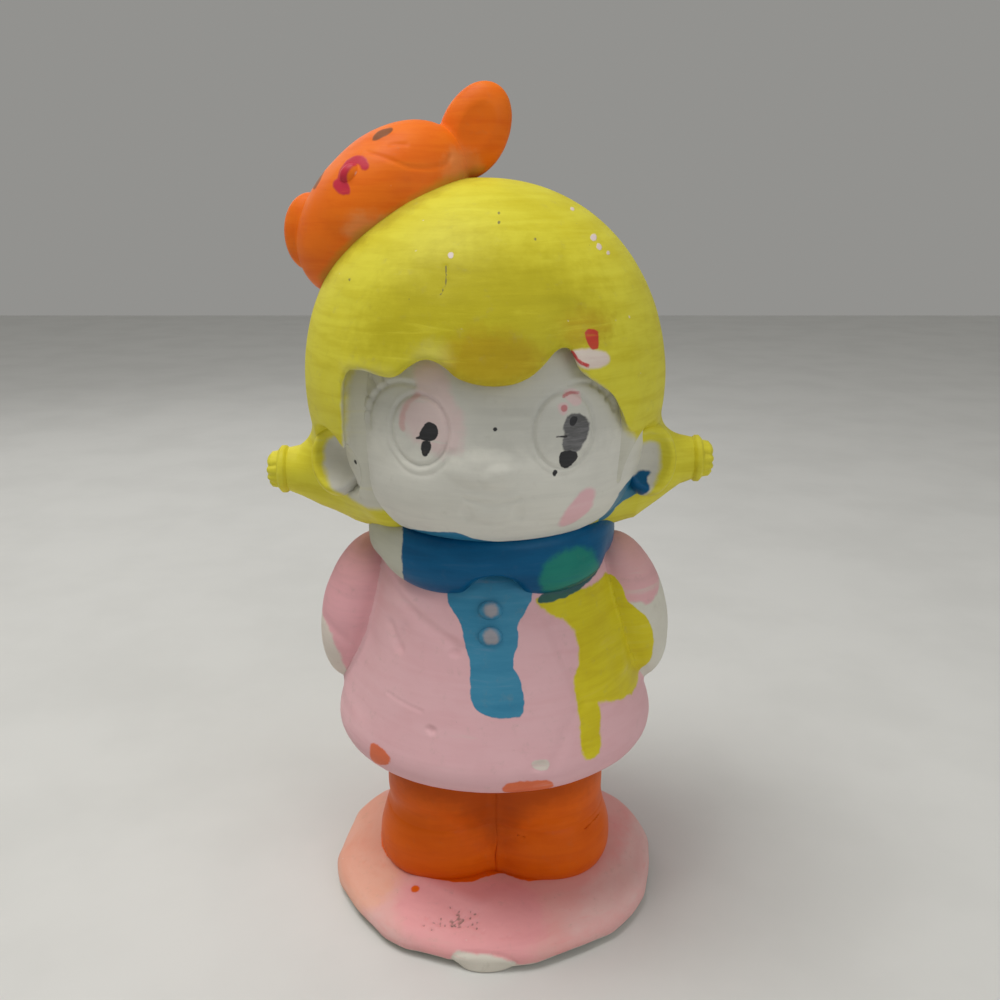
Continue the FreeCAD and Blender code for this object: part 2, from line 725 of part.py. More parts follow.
def coat_hollow():
    """The closed hollow that leaves the coat a wall."""
    thing = doc.addObject("Part::Cone", "coat_hollow")
    floor = "hem_foot_height + hem_recess + coat_wall"
    top = "collar_height - coat_wall - 2"
    bind(thing, Radius1="hem_radius - coat_wall - 2", Radius2="shoulder_radius - coat_wall - 2")
    return bind(thing, Height=f"{top} - ( {floor} )", z=floor)


def coat_piece(form, sockets):
    """The coat: a hollow bell with a lipped underside and holes for the pegs."""
    recess = cylinder(
        "hem_recess_form",
        "hem_foot_radius - hem_lip",
        "2 * hem_recess",
        z="hem_foot_height - hem_recess",
    )
    return cut("coat", form, recess, coat_hollow(), *sockets)


def button_piece(form):
    """Two low round buttons down the front of the coat."""
    slope = "( hem_radius - shoulder_radius ) / ( shoulder_height - hem_height )"
    buttons = []
    for count in range(2):
        height = f"top_button_height - {count} * button_pitch"
        radius = f"shoulder_radius + ( shoulder_height - ( {height} ) ) * {slope}"
        button = ellipsoid(
            f"button_form_{count + 1}",
            "button_half_width",
            "button_rise",
            "button_half_width * 0.85",
            x="button_side",
            y=f"0 - ( {radius} )",
            z=height,
        )
        buttons.append(cut(f"button_{count + 1}", button, form))
    return group("coat_buttons", buttons)


def sleeve_piece(side, arm, coat, scarf):
    """A sleeve: both forms of an arm cut to the coat and to the scarf, then joined."""
    upper, lower = arm
    above = cut(f"{side}_upper_sleeve", upper, coat, scarf)
    behind = cut(f"{side}_lower_sleeve", lower, coat)
    return fuse(f"{side}_sleeve", [above, behind])


def hand_piece(side, sign, coat, forearm):
    """A fist behind the back, cut to the coat and to its own cuff."""
    form = ellipsoid(
        f"{side}_hand_form",
        "hand_half_width",
        "hand_half_depth",
        "hand_half_height",
        x=f"{sign} * ( hand_half_width + joint_gap )",
        y="hand_back",
        z="forearm_height",
    )
    return cut(f"{side}_hand", form, coat, forearm)


def head_piece(form, socket):
    """The head: a hollow block with a hole for the neck peg."""
    hollow = ellipsoid(
        "head_hollow",
        "temple_half_width - head_wall",
        "temple_half_depth - head_wall",
        "head_cavity_half_height",
        y="0 - head_forward",
        z="collar_height + temple_rise",
    )
    return cut("head", form, hollow, socket)


def face_opening():
    """The opening in the hair for the face, with three lobes of fringe at its top."""
    opening = box(
        "face_block",
        "2 * face_half_width",
        f"{REACH}",
        "fringe_height - hair_edge_height + 20",
        x="0 - face_half_width",
        y=f"0 - {REACH} - face_back",
        z="hair_edge_height - 20",
    )
    lobes = []
    for count in range(-1, 2):
        lobe = level_cylinder(
            f"fringe_lobe_{count + 2}",
            "fringe_lobe_radius",
            f"{2 * REACH}",
            x=f"fringe_lobe_side + {count} * fringe_lobe_pitch",
            y=f"0 - {REACH}",
            z="fringe_height - fringe_drop + fringe_lobe_radius",
        )
        lobes.append(lobe)
    return cut("face_opening", opening, *lobes)


def ear_notch(side, sign):
    """The round notch in the side lock in front of an ear."""
    return level_cylinder(
        f"{side}_ear_notch",
        "ear_notch_radius",
        f"{REACH} - ear_forward",
        x=f"{sign} * ear_side",
        y=f"0 - {REACH}",
        z="ear_height",
    )


def hair_piece(form, head, scarf, ears):
    """The cap of hair: a thick shell over the head, open at the face and the ears."""
    below = box(
        "below_hair",
        f"{2 * REACH}",
        f"{2 * REACH}",
        f"{REACH}",
        x=f"0 - {REACH}",
        y=f"0 - {REACH}",
        z=f"hair_edge_height - {REACH}",
    )
    notches = [ear_notch(side, sign) for side, sign in SIDES]
    return cut("hair_cap", form, below, head, face_opening(), *notches, *ears, scarf)


def flick_piece(side, sign, neighbours):
    """The lock of hair that turns outwards beside the neck."""
    stations = (
        ("root", "flick_root_side", "flick_root_height"),
        ("neck", "flick_neck_side", f"( flick_root_height + {side}_flick_height ) / 2"),
        ("end", f"{side}_flick_reach", f"{side}_flick_height"),
    )
    rings = []
    for name, reach, height in stations:
        ring = upright_ring(
            f"{side}_flick_{name}",
            f"flick_{name}_half_depth",
            f"flick_{name}_half_height",
            x=f"{sign} * {reach}",
            z=height,
        )
        rings.append(ring)
    whole = loft(f"{side}_flick_form", rings)
    return cut(f"{side}_flick", whole, *neighbours)


def flick_slice(name, side, sign, start, width, extra):
    """A short oval slice on the line of a flick's end."""
    ring = upright_ring(
        f"{name}_ring",
        f"flick_end_half_depth + {extra}",
        f"flick_end_half_height + {extra}",
        x=f"{sign} * ( {side}_flick_reach + {start} )",
        z=f"{side}_flick_height",
    )
    thing = doc.addObject("Part::Extrusion", name)
    thing.Base = ring
    thing.DirMode = "Custom"
    thing.Dir = FreeCAD.Vector(sign, 0, 0)
    thing.Solid = True
    return bind(thing, LengthFwd=width)


def bear_ear(name, place, hair, bear):
    """One of the bear's ears: its head's end on the hair cuts it short."""
    whole = ellipsoid(
        f"bear_{name}_ear_form",
        f"{place}_half_width",
        "bear_ear_half_depth",
        f"{place}_half_height",
        x=f"{place}_side",
        y="bear_ear_back",
        z=f"{place}_height",
    )
    turn(whole, (0, 1, 0), f"{place}_lean")
    return cut(f"bear_{name}_ear", whole, bear, hair)


def bear_nose_piece(bear):
    """The bear's low round nose."""
    whole = ellipsoid(
        "bear_nose_form",
        "bear_nose_half_width",
        "bear_nose_half_width",
        "bear_nose_half_width",
        x="bear_nose_side",
        y="0 - bear_nose_forward",
        z="bear_nose_height",
    )
    return cut("bear_nose", whole, bear)


def build():
    """Build every piece and return them in order from the ground up."""
    fill_sheet()
    mound, coat, head = mound_form(), coat_form(), head_form()
    hair, scarf, bear = hair_form(), scarf_form(), bear_form()
    ears = [ear_form(side, sign) for side, sign in SIDES]
    arms = [arm_forms(side, sign) for side, sign in SIDES]
    socket = neck_socket()
    shoe_sockets = [shoe_socket(side, sign) for side, sign in SIDES]
    leg_sockets = [leg_socket(side, sign) for side, sign in SIDES]
    pieces = [cut("base_mound", mound, *shoe_sockets)]
    pieces += [shoe_piece(side, sign, mound) for side, sign in SIDES]
    pieces += [leg_piece(side, sign) for side, sign in SIDES]
    pieces += [coat_piece(coat, leg_sockets + [socket]), button_piece(coat)]
    pieces.append(cut("scarf", scarf, coat, head))
    for (side, sign), arm in zip(SIDES, arms):
        pieces.append(sleeve_piece(side, arm, coat, scarf))
        pieces.append(hand_piece(side, sign, coat, arm[1]))
    pieces += [neck_peg_piece(), head_piece(head, socket)]
    left_ear = cut("left_ear", ears[0], head)
    pieces += [left_ear, mirrored("right_ear", left_ear)]
    pieces.append(hair_piece(hair, head, scarf, ears))
    for (side, sign), ear in zip(SIDES, ears):
        pieces.append(flick_piece(side, sign, (hair, head, ear, scarf)))
        pieces.append(flick_slice(f"{side}_hair_band", side, sign, "0", "band_width", "band_rise"))
        tip = f"{side}_hair_tip"
        pieces.append(flick_slice(tip, side, sign, "band_width", "tip_length", "0 - tip_inset"))
    pieces.append(cut("bear_head", bear, hair))
    pieces.append(bear_ear("left", "bear_high_ear", hair, bear))
    pieces.append(bear_ear("right", "bear_low_ear", hair, bear))
    pieces.append(bear_nose_piece(bear))
    return pieces


def check(pieces):
    """Refuse to write anything if an object failed or a piece isn't a valid solid."""
    for item in doc.Objects:
        if "Invalid" in item.State or "Error" in item.State:
            raise RuntimeError(f"{item.Name} failed: {item.State}")
    for piece in pieces:
        shape = piece.Shape
        if shape.isNull() or not shape.isValid() or not shape.Solids:
            raise RuntimeError(f"{piece.Label} has no valid shape")
        print(f"{piece.Label}: {len(shape.Solids)} solid(s), {shape.Volume / 1000:.2f} cm3")


def write(pieces):
    """Write one file for each piece, named after its label."""
    os.makedirs("parts", exist_ok=True)
    for piece in pieces:
        piece.Shape.exportStep(f"parts/{piece.Label}.step")


pieces = build()
doc.recompute()
check(pieces)
write(pieces)
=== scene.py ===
"""A cast plaster figurine, painted by hand: a child in a smock with a bear on the hair.

The figure stands on a round mound. Every piece is sculpted as a closed solid around the fixed
frame and is given its own paint finish. Lengths inside the classes are millimetres; a mesh is
turned into metres when it is made. The figure faces -Y, +Z is up and +X is its left hand.
"""

import logging
import math
from dataclasses import dataclass, field, replace
from enum import Enum
from typing import Iterable, Optional, Sequence, Union

import bpy
import numpy as np
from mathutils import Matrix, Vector


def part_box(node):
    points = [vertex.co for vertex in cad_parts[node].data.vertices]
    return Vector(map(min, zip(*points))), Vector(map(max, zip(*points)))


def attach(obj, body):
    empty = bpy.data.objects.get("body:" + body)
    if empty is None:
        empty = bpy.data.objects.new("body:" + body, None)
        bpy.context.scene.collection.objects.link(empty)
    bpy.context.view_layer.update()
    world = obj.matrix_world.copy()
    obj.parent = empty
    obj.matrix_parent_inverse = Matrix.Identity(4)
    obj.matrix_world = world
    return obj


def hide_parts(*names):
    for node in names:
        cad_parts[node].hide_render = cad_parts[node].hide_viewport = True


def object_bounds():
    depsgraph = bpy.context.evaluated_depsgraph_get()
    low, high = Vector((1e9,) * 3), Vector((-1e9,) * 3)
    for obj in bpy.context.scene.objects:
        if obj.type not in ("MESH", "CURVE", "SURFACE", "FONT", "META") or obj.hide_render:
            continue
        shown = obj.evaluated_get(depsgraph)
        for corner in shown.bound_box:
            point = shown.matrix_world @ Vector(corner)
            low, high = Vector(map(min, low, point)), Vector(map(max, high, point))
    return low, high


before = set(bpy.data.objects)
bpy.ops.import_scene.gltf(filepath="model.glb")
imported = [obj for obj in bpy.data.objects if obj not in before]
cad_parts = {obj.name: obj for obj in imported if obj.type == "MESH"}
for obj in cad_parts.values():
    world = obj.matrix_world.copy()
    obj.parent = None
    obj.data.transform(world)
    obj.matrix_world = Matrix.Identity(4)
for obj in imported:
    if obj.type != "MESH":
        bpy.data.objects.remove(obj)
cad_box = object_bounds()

LOG = logging.getLogger("figurine")
MILLIMETRE = 0.001
BODY = "root"
SIDES = (("left", 1.0), ("right", -1.0))

Vec2 = tuple[float, float]
Vec3 = tuple[float, float, float]
Colour = tuple[float, float, float]
Socket = bpy.types.NodeSocket
Value = Union[float, Colour, Socket]


# ---------------------------------------------------------------------------
# The frame
# ---------------------------------------------------------------------------


@dataclass(frozen=True)
class NodeBox:
    """The space that a node of the fixed frame takes up, in millimetres."""

    low: np.ndarray
    high: np.ndarray

    @property
    def centre(self) -> np.ndarray:
        """The middle of the box."""
        return (self.low + self.high) / 2

    @property
    def half(self) -> np.ndarray:
        """Half of the box's size along each axis."""
        return (self.high - self.low) / 2

    def grown(self, margin: float) -> "NodeBox":
        """A box that is larger on every side by margin."""
        return NodeBox(self.low - margin, self.high + margin)


def node_box(*names: str) -> NodeBox:
    """Gives the box around some nodes of the frame.

    Args:
        names: the nodes' names.

    Returns:
        The box around all of them.
    """
    corners = [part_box(name) for name in names]
    low = np.min([np.array(c[0]) for c in corners], axis=0) / MILLIMETRE
    high = np.max([np.array(c[1]) for c in corners], axis=0) / MILLIMETRE
    return NodeBox(low, high)


# ---------------------------------------------------------------------------
# Plane curves
# ---------------------------------------------------------------------------


def softened(points: Sequence[Vec2], rounds: int = 2, closed: bool = True) -> list[Vec2]:
    """Rounds the corners of a plane outline by cutting each of them a few times.

    Args:
        points: the outline's corners, in order.
        rounds: how often every corner is cut.
        closed: whether the last point joins the first.

    Returns:
        The rounded outline's points.
    """
    line = [tuple(map(float, p)) for p in points]
    for _ in range(rounds):
        pairs = list(zip(line, line[1:] + line[:1] if closed else line[1:]))
        cut = []
        for (ax, ay), (bx, by) in pairs:
            cut.append((0.75 * ax + 0.25 * bx, 0.75 * ay + 0.25 * by))
            cut.append((0.25 * ax + 0.75 * bx, 0.25 * ay + 0.75 * by))
        line = cut if closed else [line[0], *cut, line[-1]]
    return line


def oval(centre: Vec2, radii: Vec2, start: float = 0.0, end: float = 360.0) -> list[Vec2]:
    """Gives points along an oval, or along a part of it.

    Args:
        centre: the oval's middle.
        radii: its half width and half height.
        start: the angle of the first point, in degrees from the right, turning upwards.
        end: the angle of the last point.

    Returns:
        The points, about every 12 degrees.
    """
    count = max(4, int(abs(end - start) / 12.0))
    angles = np.radians(np.linspace(start, end, count + 1))
    return [(centre[0] + radii[0] * math.cos(a), centre[1] + radii[1] * math.sin(a)) for a in angles]


def line_distance(u: np.ndarray, v: np.ndarray, line: Sequence[Vec2]) -> np.ndarray:
    """Measures how far plane points lie from a bent line.

    Args:
        u: the points' first coordinates.
        v: their second coordinates.
        line: the line's points.

    Returns:
        The distance of each point to the line.
    """
    nearest = np.full(u.shape, 1e9, np.float32)
    for (ax, ay), (bx, by) in zip(line, line[1:]):
        ex, ey = bx - ax, by - ay
        wx, wy = u - ax, v - ay
        share = np.clip((wx * ex + wy * ey) / max(ex * ex + ey * ey, 1e-9), 0.0, 1.0)
        nearest = np.minimum(nearest, (wx - ex * share) ** 2 + (wy - ey * share) ** 2)
    return np.sqrt(nearest)


def outline_distance(u: np.ndarray, v: np.ndarray, outline: Sequence[Vec2]) -> np.ndarray:
    """Measures how far plane points lie from a closed outline, less than zero inside it.

    Args:
        u: the points' first coordinates.
        v: their second coordinates.
        outline: the outline's corners, in order.

    Returns:
        The signed distance of each point.
    """
    closed = list(outline) + [outline[0]]
    inside = np.zeros(u.shape, bool)
    for (ax, ay), (bx, by) in zip(closed, closed[1:]):
        if ay == by:
            continue
        spans = (ay > v) != (by > v)
        inside ^= spans & (u < (bx - ax) * (v - ay) / (by - ay) + ax)
    away = line_distance(u, v, closed)
    return np.where(inside, -away, away)


# ---------------------------------------------------------------------------
# Solid forms, by signed distance
# ---------------------------------------------------------------------------


class Form:
    """A solid known by its signed distance, which is less than zero inside."""

    def distance(self, points: np.ndarray) -> np.ndarray:
        """Measures how far points lie from the surface.

        Args:
            points: an array of points.

        Returns:
            The signed distance of each point.
        """
        raise NotImplementedError


@dataclass(frozen=True)
class Ball(Form):
    """A round body with three half sizes, which may lean sideways and turn about the upright."""

    centre: Vec3
    radii: Vec3
    lean: float = 0.0
    turn: float = 0.0
    power: float = 2.0

    def distance(self, points: np.ndarray) -> np.ndarray:
        """See Form.distance; a power above 2 squares the body off."""
        local = points - np.array(self.centre, np.float32)
        if self.turn:
            c, s = math.cos(math.radians(self.turn)), math.sin(math.radians(self.turn))
            x, y = local[:, 0].copy(), local[:, 1].copy()
            local = np.stack([c * x + s * y, c * y - s * x, local[:, 2]], 1)
        if self.lean:
            c, s = math.cos(math.radians(self.lean)), math.sin(math.radians(self.lean))
            x, z = local[:, 0].copy(), local[:, 2].copy()
            local = np.stack([c * x - s * z, local[:, 1], s * x + c * z], 1)
        radii = np.array(self.radii, np.float32)
        share = np.abs(local) / radii + 1e-6
        size = (share**self.power).sum(1) ** (1.0 / self.power)
        slope = (share / size[:, None]) ** (self.power - 1.0) / radii
        return (size - 1.0) / np.sqrt((slope**2).sum(1))


@dataclass(frozen=True)
class Turned(Form):
    """A body turned about an upright line from an outline of radii and heights."""

    outline: Sequence[Vec2]
    centre: Vec2 = (0.0, 0.0)
    depth_ratio: float = 1.0

    def distance(self, points: np.ndarray) -> np.ndarray:
        """See Form.distance."""
        x = points[:, 0] - self.centre[0]
        y = (points[:, 1] - self.centre[1]) / self.depth_ratio
        return outline_distance(np.hypot(x, y), points[:, 2], self.outline)


@dataclass(frozen=True)
class Horn(Form):
    """A body that lies along X and narrows from its root to its end, as a lock of hair does."""

    stations: Sequence[float]
    heights: Sequence[float]
    half_heights: Sequence[float]
    half_depths: Sequence[float]

    def distance(self, points: np.ndarray) -> np.ndarray:
        """See Form.distance."""
        x = points[:, 0]
        order = np.argsort(self.stations)
        at = np.array(self.stations)[order]

        def along(values: Sequence[float]) -> np.ndarray:
            """Gives a size of the section at every point's station."""
            return np.interp(x, at, np.array(values)[order]).astype(np.float32)

        high, deep = along(self.half_heights), along(self.half_depths)
        size = np.sqrt((points[:, 1] / deep) ** 2 + ((points[:, 2] - along(self.heights)) / high) ** 2)
        side = (size - 1.0) * np.minimum(high, deep) * 0.92
        return np.maximum(side, np.maximum(at[0] - x, x - at[-1]))


@dataclass(frozen=True)
class Column(Form):
    """A region of space that goes through from front to back, with a given outline in front view."""

    outline: Sequence[Vec2]
    back: float
    ease: float = 1.0

    def distance(self, points: np.ndarray) -> np.ndarray:
        """See Form.distance; it lies forward of the back value along Y."""
        flat = outline_distance(points[:, 0], points[:, 2], self.outline)
        return smooth_max(flat, points[:, 1] - self.back, self.ease)


@dataclass(frozen=True)
class Half(Form):
    """The half of space on one side of a plane."""

    point: Vec3
    normal: Vec3

    def distance(self, points: np.ndarray) -> np.ndarray:
        """See Form.distance; the normal points outwards."""
        normal = np.array(self.normal, np.float32)
        normal /= np.linalg.norm(normal)
        return (points - np.array(self.point, np.float32)) @ normal


def smooth_min(a: np.ndarray, b: np.ndarray, ease: float) -> np.ndarray:
    """Takes the smaller of two distances, eased into a fillet where they are close.

    Args:
        a: the first distances.
        b: the second distances.
        ease: how far apart two distances can be and still be eased.

    Returns:
        The distances of the joined form.
    """
    if ease <= 0.0:
        return np.minimum(a, b)
    overlap = np.maximum(ease - np.abs(a - b), 0.0) / ease
    return np.minimum(a, b) - overlap * overlap * ease * 0.25


def smooth_max(a: np.ndarray, b: np.ndarray, ease: float) -> np.ndarray:
    """The larger of two distances, eased into a rounded edge where they are close."""
    return -smooth_min(-a, -b, ease)


@dataclass(frozen=True)
class Joined(Form):
    """Several forms grown together, with fillets."""

    forms: Sequence[Form]
    ease: float = 0.0

    def distance(self, points: np.ndarray) -> np.ndarray:
        """See Form.distance."""
        result = self.forms[0].distance(points)
        for form in self.forms[1:]:
            result = smooth_min(result, form.distance(points), self.ease)
        return result


@dataclass(frozen=True)
class Carved(Form):
    """A form less some others, with rounded edges."""

    form: Form
    tools: Sequence[Form]
    ease: float = 0.0

    def distance(self, points: np.ndarray) -> np.ndarray:
        """See Form.distance."""
        result = self.form.distance(points)
        for tool in self.tools:
            result = smooth_max(result, -tool.distance(points), self.ease)
        return result


@dataclass(frozen=True)
class Kept(Form):
    """The part of a form that lies inside some others, with rounded edges."""

    form: Form
    limits: Sequence[Form]
    ease: float = 0.0

    def distance(self, points: np.ndarray) -> np.ndarray:
        """See Form.distance."""
        result = self.form.distance(points)
        for limit in self.limits:
            result = smooth_max(result, limit.distance(points), self.ease)
        return result


@dataclass(frozen=True)
class Grown(Form):
    """A form that is larger all round, or smaller for a negative amount."""

    form: Form
    amount: float

    def distance(self, points: np.ndarray) -> np.ndarray:
        """See Form.distance."""
        return self.form.distance(points) - self.amount


@dataclass(frozen=True)
class Share(Form):
    """One member's part of a family whose surface is one, with a hidden overlap at the borders."""

    whole: Form
    own: Form
    others: Sequence[Form]
    overlap: float = 0.6
    sink: float = 0.12
    fade: float = 0.3

    def distance(self, points: np.ndarray) -> np.ndarray:
        """See Form.distance."""
        lead = self.own.distance(points)
        rest = self.others[0].distance(points)
        for other in self.others[1:]:
            rest = np.minimum(rest, other.distance(points))
        behind = np.clip((lead - rest) / self.fade, 0.0, 1.0)
        surface = self.whole.distance(points) + self.sink * behind
        return np.maximum(surface, lead - rest - self.overlap)


@dataclass(frozen=True)
class Family:
    """Members that were cast in one: their surface is one, and each keeps its own share of it."""

    members: dict[str, Form]
    ease: float

    def share(self, name: str) -> Form:
        """Gives one member's share.

        Args:
            name: the member.

        Returns:
            The form of that member alone.
        """
        whole = Joined(list(self.members.values()), self.ease)
        others = [form for key, form in self.members.items() if key != name]
        return Share(whole, self.members[name], others)


# ---------------------------------------------------------------------------
# Hand-made unevenness and relief
# ---------------------------------------------------------------------------


@dataclass(frozen=True)
class Lumps:
    """Smooth random hills in space, between about -1 and 1."""

    pitch: float
    seed: int
    cells: int = 32

    def height(self, points: np.ndarray) -> np.ndarray:
        """Gives the hills' height.

        Args:
            points: an array of points.

        Returns:
            The height at each point.
        """
        draw = np.random.default_rng(self.seed)
        lattice = draw.uniform(-1.0, 1.0, (self.cells,) * 3).astype(np.float32)
        grid = points / self.pitch + 0.37 * self.cells
        base = np.floor(grid).astype(np.int64)
        part = (grid - base).astype(np.float32)
        ease = part * part * (3.0 - 2.0 * part)
        total = np.zeros(len(points), np.float32)
        for corner in np.ndindex(2, 2, 2):
            weight = np.prod(np.where(np.array(corner) == 1, ease, 1.0 - ease), axis=1)
            cell = (base + np.array(corner)) % self.cells
            total += weight * lattice[cell[:, 0], cell[:, 1], cell[:, 2]]
        return total


FRONT_ENDS_AT = 6.0
BACK_STARTS_AT = 4.0
EVERYWHERE = 50.0


class View(Enum):
    """The direction in which a drawn line or outline is laid onto a surface."""

    FRONT = "front"
    BACK = "back"
    PLAN = "plan"

    def flat(self, points: np.ndarray) -> tuple[np.ndarray, np.ndarray, np.ndarray]:
        """Gives two plane coordinates and which points face this way.

        Args:
            points: an array of points.

        Returns:
            The first and the second coordinate, and how far each point is on this view's side.
        """
        x, y, z = points[:, 0], points[:, 1], points[:, 2]
        if self is View.FRONT:
            return x, z, FRONT_ENDS_AT - y
        if self is View.BACK:
            return x, z, y - BACK_STARTS_AT
        return x, y, np.full(len(points), EVERYWHERE, np.float32)


class Mark:
    """Something low in relief: a crease, a rim or a swelling."""

    def height(self, points: np.ndarray) -> np.ndarray:
        """Gives how far the surface stands out, in millimetres, at each point."""
        raise NotImplementedError


@dataclass(frozen=True)
class Crease(Mark):
    """A line pressed into the surface, or raised from it, that fades at its ends."""

    path: Sequence[Vec2]
    width: float
    rise: float
    view: View = View.FRONT

    def height(self, points: np.ndarray) -> np.ndarray:
        """See Mark.height."""
        u, v, side = self.view.flat(points)
        away = line_distance(u, v, softened(self.path, 2, closed=False))
        return np.where(side > 0.0, self.rise * np.exp(-((away / self.width) ** 2)), 0.0)


@dataclass(frozen=True)
class Swell(Mark):
    """A soft oval swelling, or a hollow for a negative rise."""

    centre: Vec2
    radii: Vec2
    rise: float
    power: float = 2.0
    view: View = View.FRONT
    tilt: float = 0.0

    def height(self, points: np.ndarray) -> np.ndarray:
        """See Mark.height."""
        u, v, side = self.view.flat(points)
        c, s = math.cos(math.radians(self.tilt)), math.sin(math.radians(self.tilt))
        du, dv = u - self.centre[0], v - self.centre[1]
        a = (c * du + s * dv) / self.radii[0]
        b = (c * dv - s * du) / self.radii[1]
        inside = np.clip(1.0 - (a * a + b * b) ** (self.power / 2.0), 0.0, 1.0)
        return np.where(side > 0.0, self.rise * inside * inside * (3.0 - 2.0 * inside), 0.0)


@dataclass(frozen=True)
class Pits(Mark):
    """Small air holes left by the casting, strewn over an oval area."""

    centre: Vec2
    spread: Vec2
    count: int
    radius: Vec2
    depth: float
    seed: int
    view: View = View.FRONT

    def spots(self) -> list[tuple[float, float, float]]:
        """Draws the place and the radius of every hole.

        Returns:
            The two plane coordinates and the radius of each.
        """
        draw = np.random.default_rng(self.seed)
        places = draw.normal(0.0, 0.5, (self.count, 2)) * np.array(self.spread) + np.array(self.centre)
        sizes = draw.uniform(self.radius[0], self.radius[1], self.count)
        return [(float(u), float(v), float(r)) for (u, v), r in zip(places, sizes)]

    def height(self, points: np.ndarray) -> np.ndarray:
        """See Mark.height."""
        u, v, side = self.view.flat(points)
        result = np.zeros(len(points), np.float32)
        for pu, pv, r in self.spots():
            away = ((u - pu) ** 2 + (v - pv) ** 2) / (r * r)
            result = np.minimum(result, -self.depth * np.clip(1.2 - away, 0.0, 1.0))
        return np.where(side > 0.0, result, 0.0)


# ---------------------------------------------------------------------------
# Paint on the surface: where it lies
# ---------------------------------------------------------------------------


class PaintArea:
    """Where one colour lies on a surface; the mesh carries its depth under its name."""

    name: str

    def depth(self, points: np.ndarray) -> np.ndarray:
        """Measures how far inside the paint points lie.

        Args:
            points: an array of points.

        Returns:
            The depth of each in millimetres, less than 0 outside the paint.
        """
        raise NotImplementedError


@dataclass(frozen=True)
class Patch(PaintArea):
    """An area of paint with an outline, drawn in one view."""

    name: str
    outline: Sequence[Vec2]
    view: View = View.FRONT
    rounds: int = 2

    def depth(self, points: np.ndarray) -> np.ndarray:
        """See PaintArea.depth."""
        u, v, side = self.view.flat(points)
        inside = -outline_distance(u, v, softened(self.outline, self.rounds))
        return np.minimum(inside, side)


@dataclass(frozen=True)
class Stroke(PaintArea):
    """Paint along a line, as a brush or a drip leaves it."""

    name: str
    path: Sequence[Vec2]
    half_width: float
    view: View = View.FRONT

    def depth(self, points: np.ndarray) -> np.ndarray:
        """See PaintArea.depth."""
        u, v, side = self.view.flat(points)
        away = line_distance(u, v, softened(self.path, 2, closed=False))
        return np.minimum(self.half_width - away, side)


@dataclass(frozen=True)
class Spots(PaintArea):
    """Several small round spots of paint."""

    name: str
    places: Sequence[tuple[float, float, float]]
    view: View = View.FRONT

    def depth(self, points: np.ndarray) -> np.ndarray:
        """See PaintArea.depth."""
        u, v, side = self.view.flat(points)
        inside = np.full(len(points), -9.0, np.float32)
        for pu, pv, radius in self.places:
            inside = np.maximum(inside, radius - np.hypot(u - pu, v - pv))
        return np.minimum(inside, side)


@dataclass(frozen=True)
class Several(PaintArea):
    """Some areas that count as one."""

    name: str
    parts: Sequence[PaintArea]

    def depth(self, points: np.ndarray) -> np.ndarray:
        """See PaintArea.depth."""
        return np.max([part.depth(points) for part in self.parts], axis=0)


@dataclass(frozen=True)
class Before(PaintArea):
    """An area kept in front of an upright plane."""

    area: PaintArea
    back: float

    @property
    def name(self) -> str:
        """The area's own name."""
        return self.area.name

    def depth(self, points: np.ndarray) -> np.ndarray:
        """See PaintArea.depth."""
        return np.minimum(self.area.depth(points), self.back - points[:, 1])


# ---------------------------------------------------------------------------
# From a form to a mesh
# ---------------------------------------------------------------------------


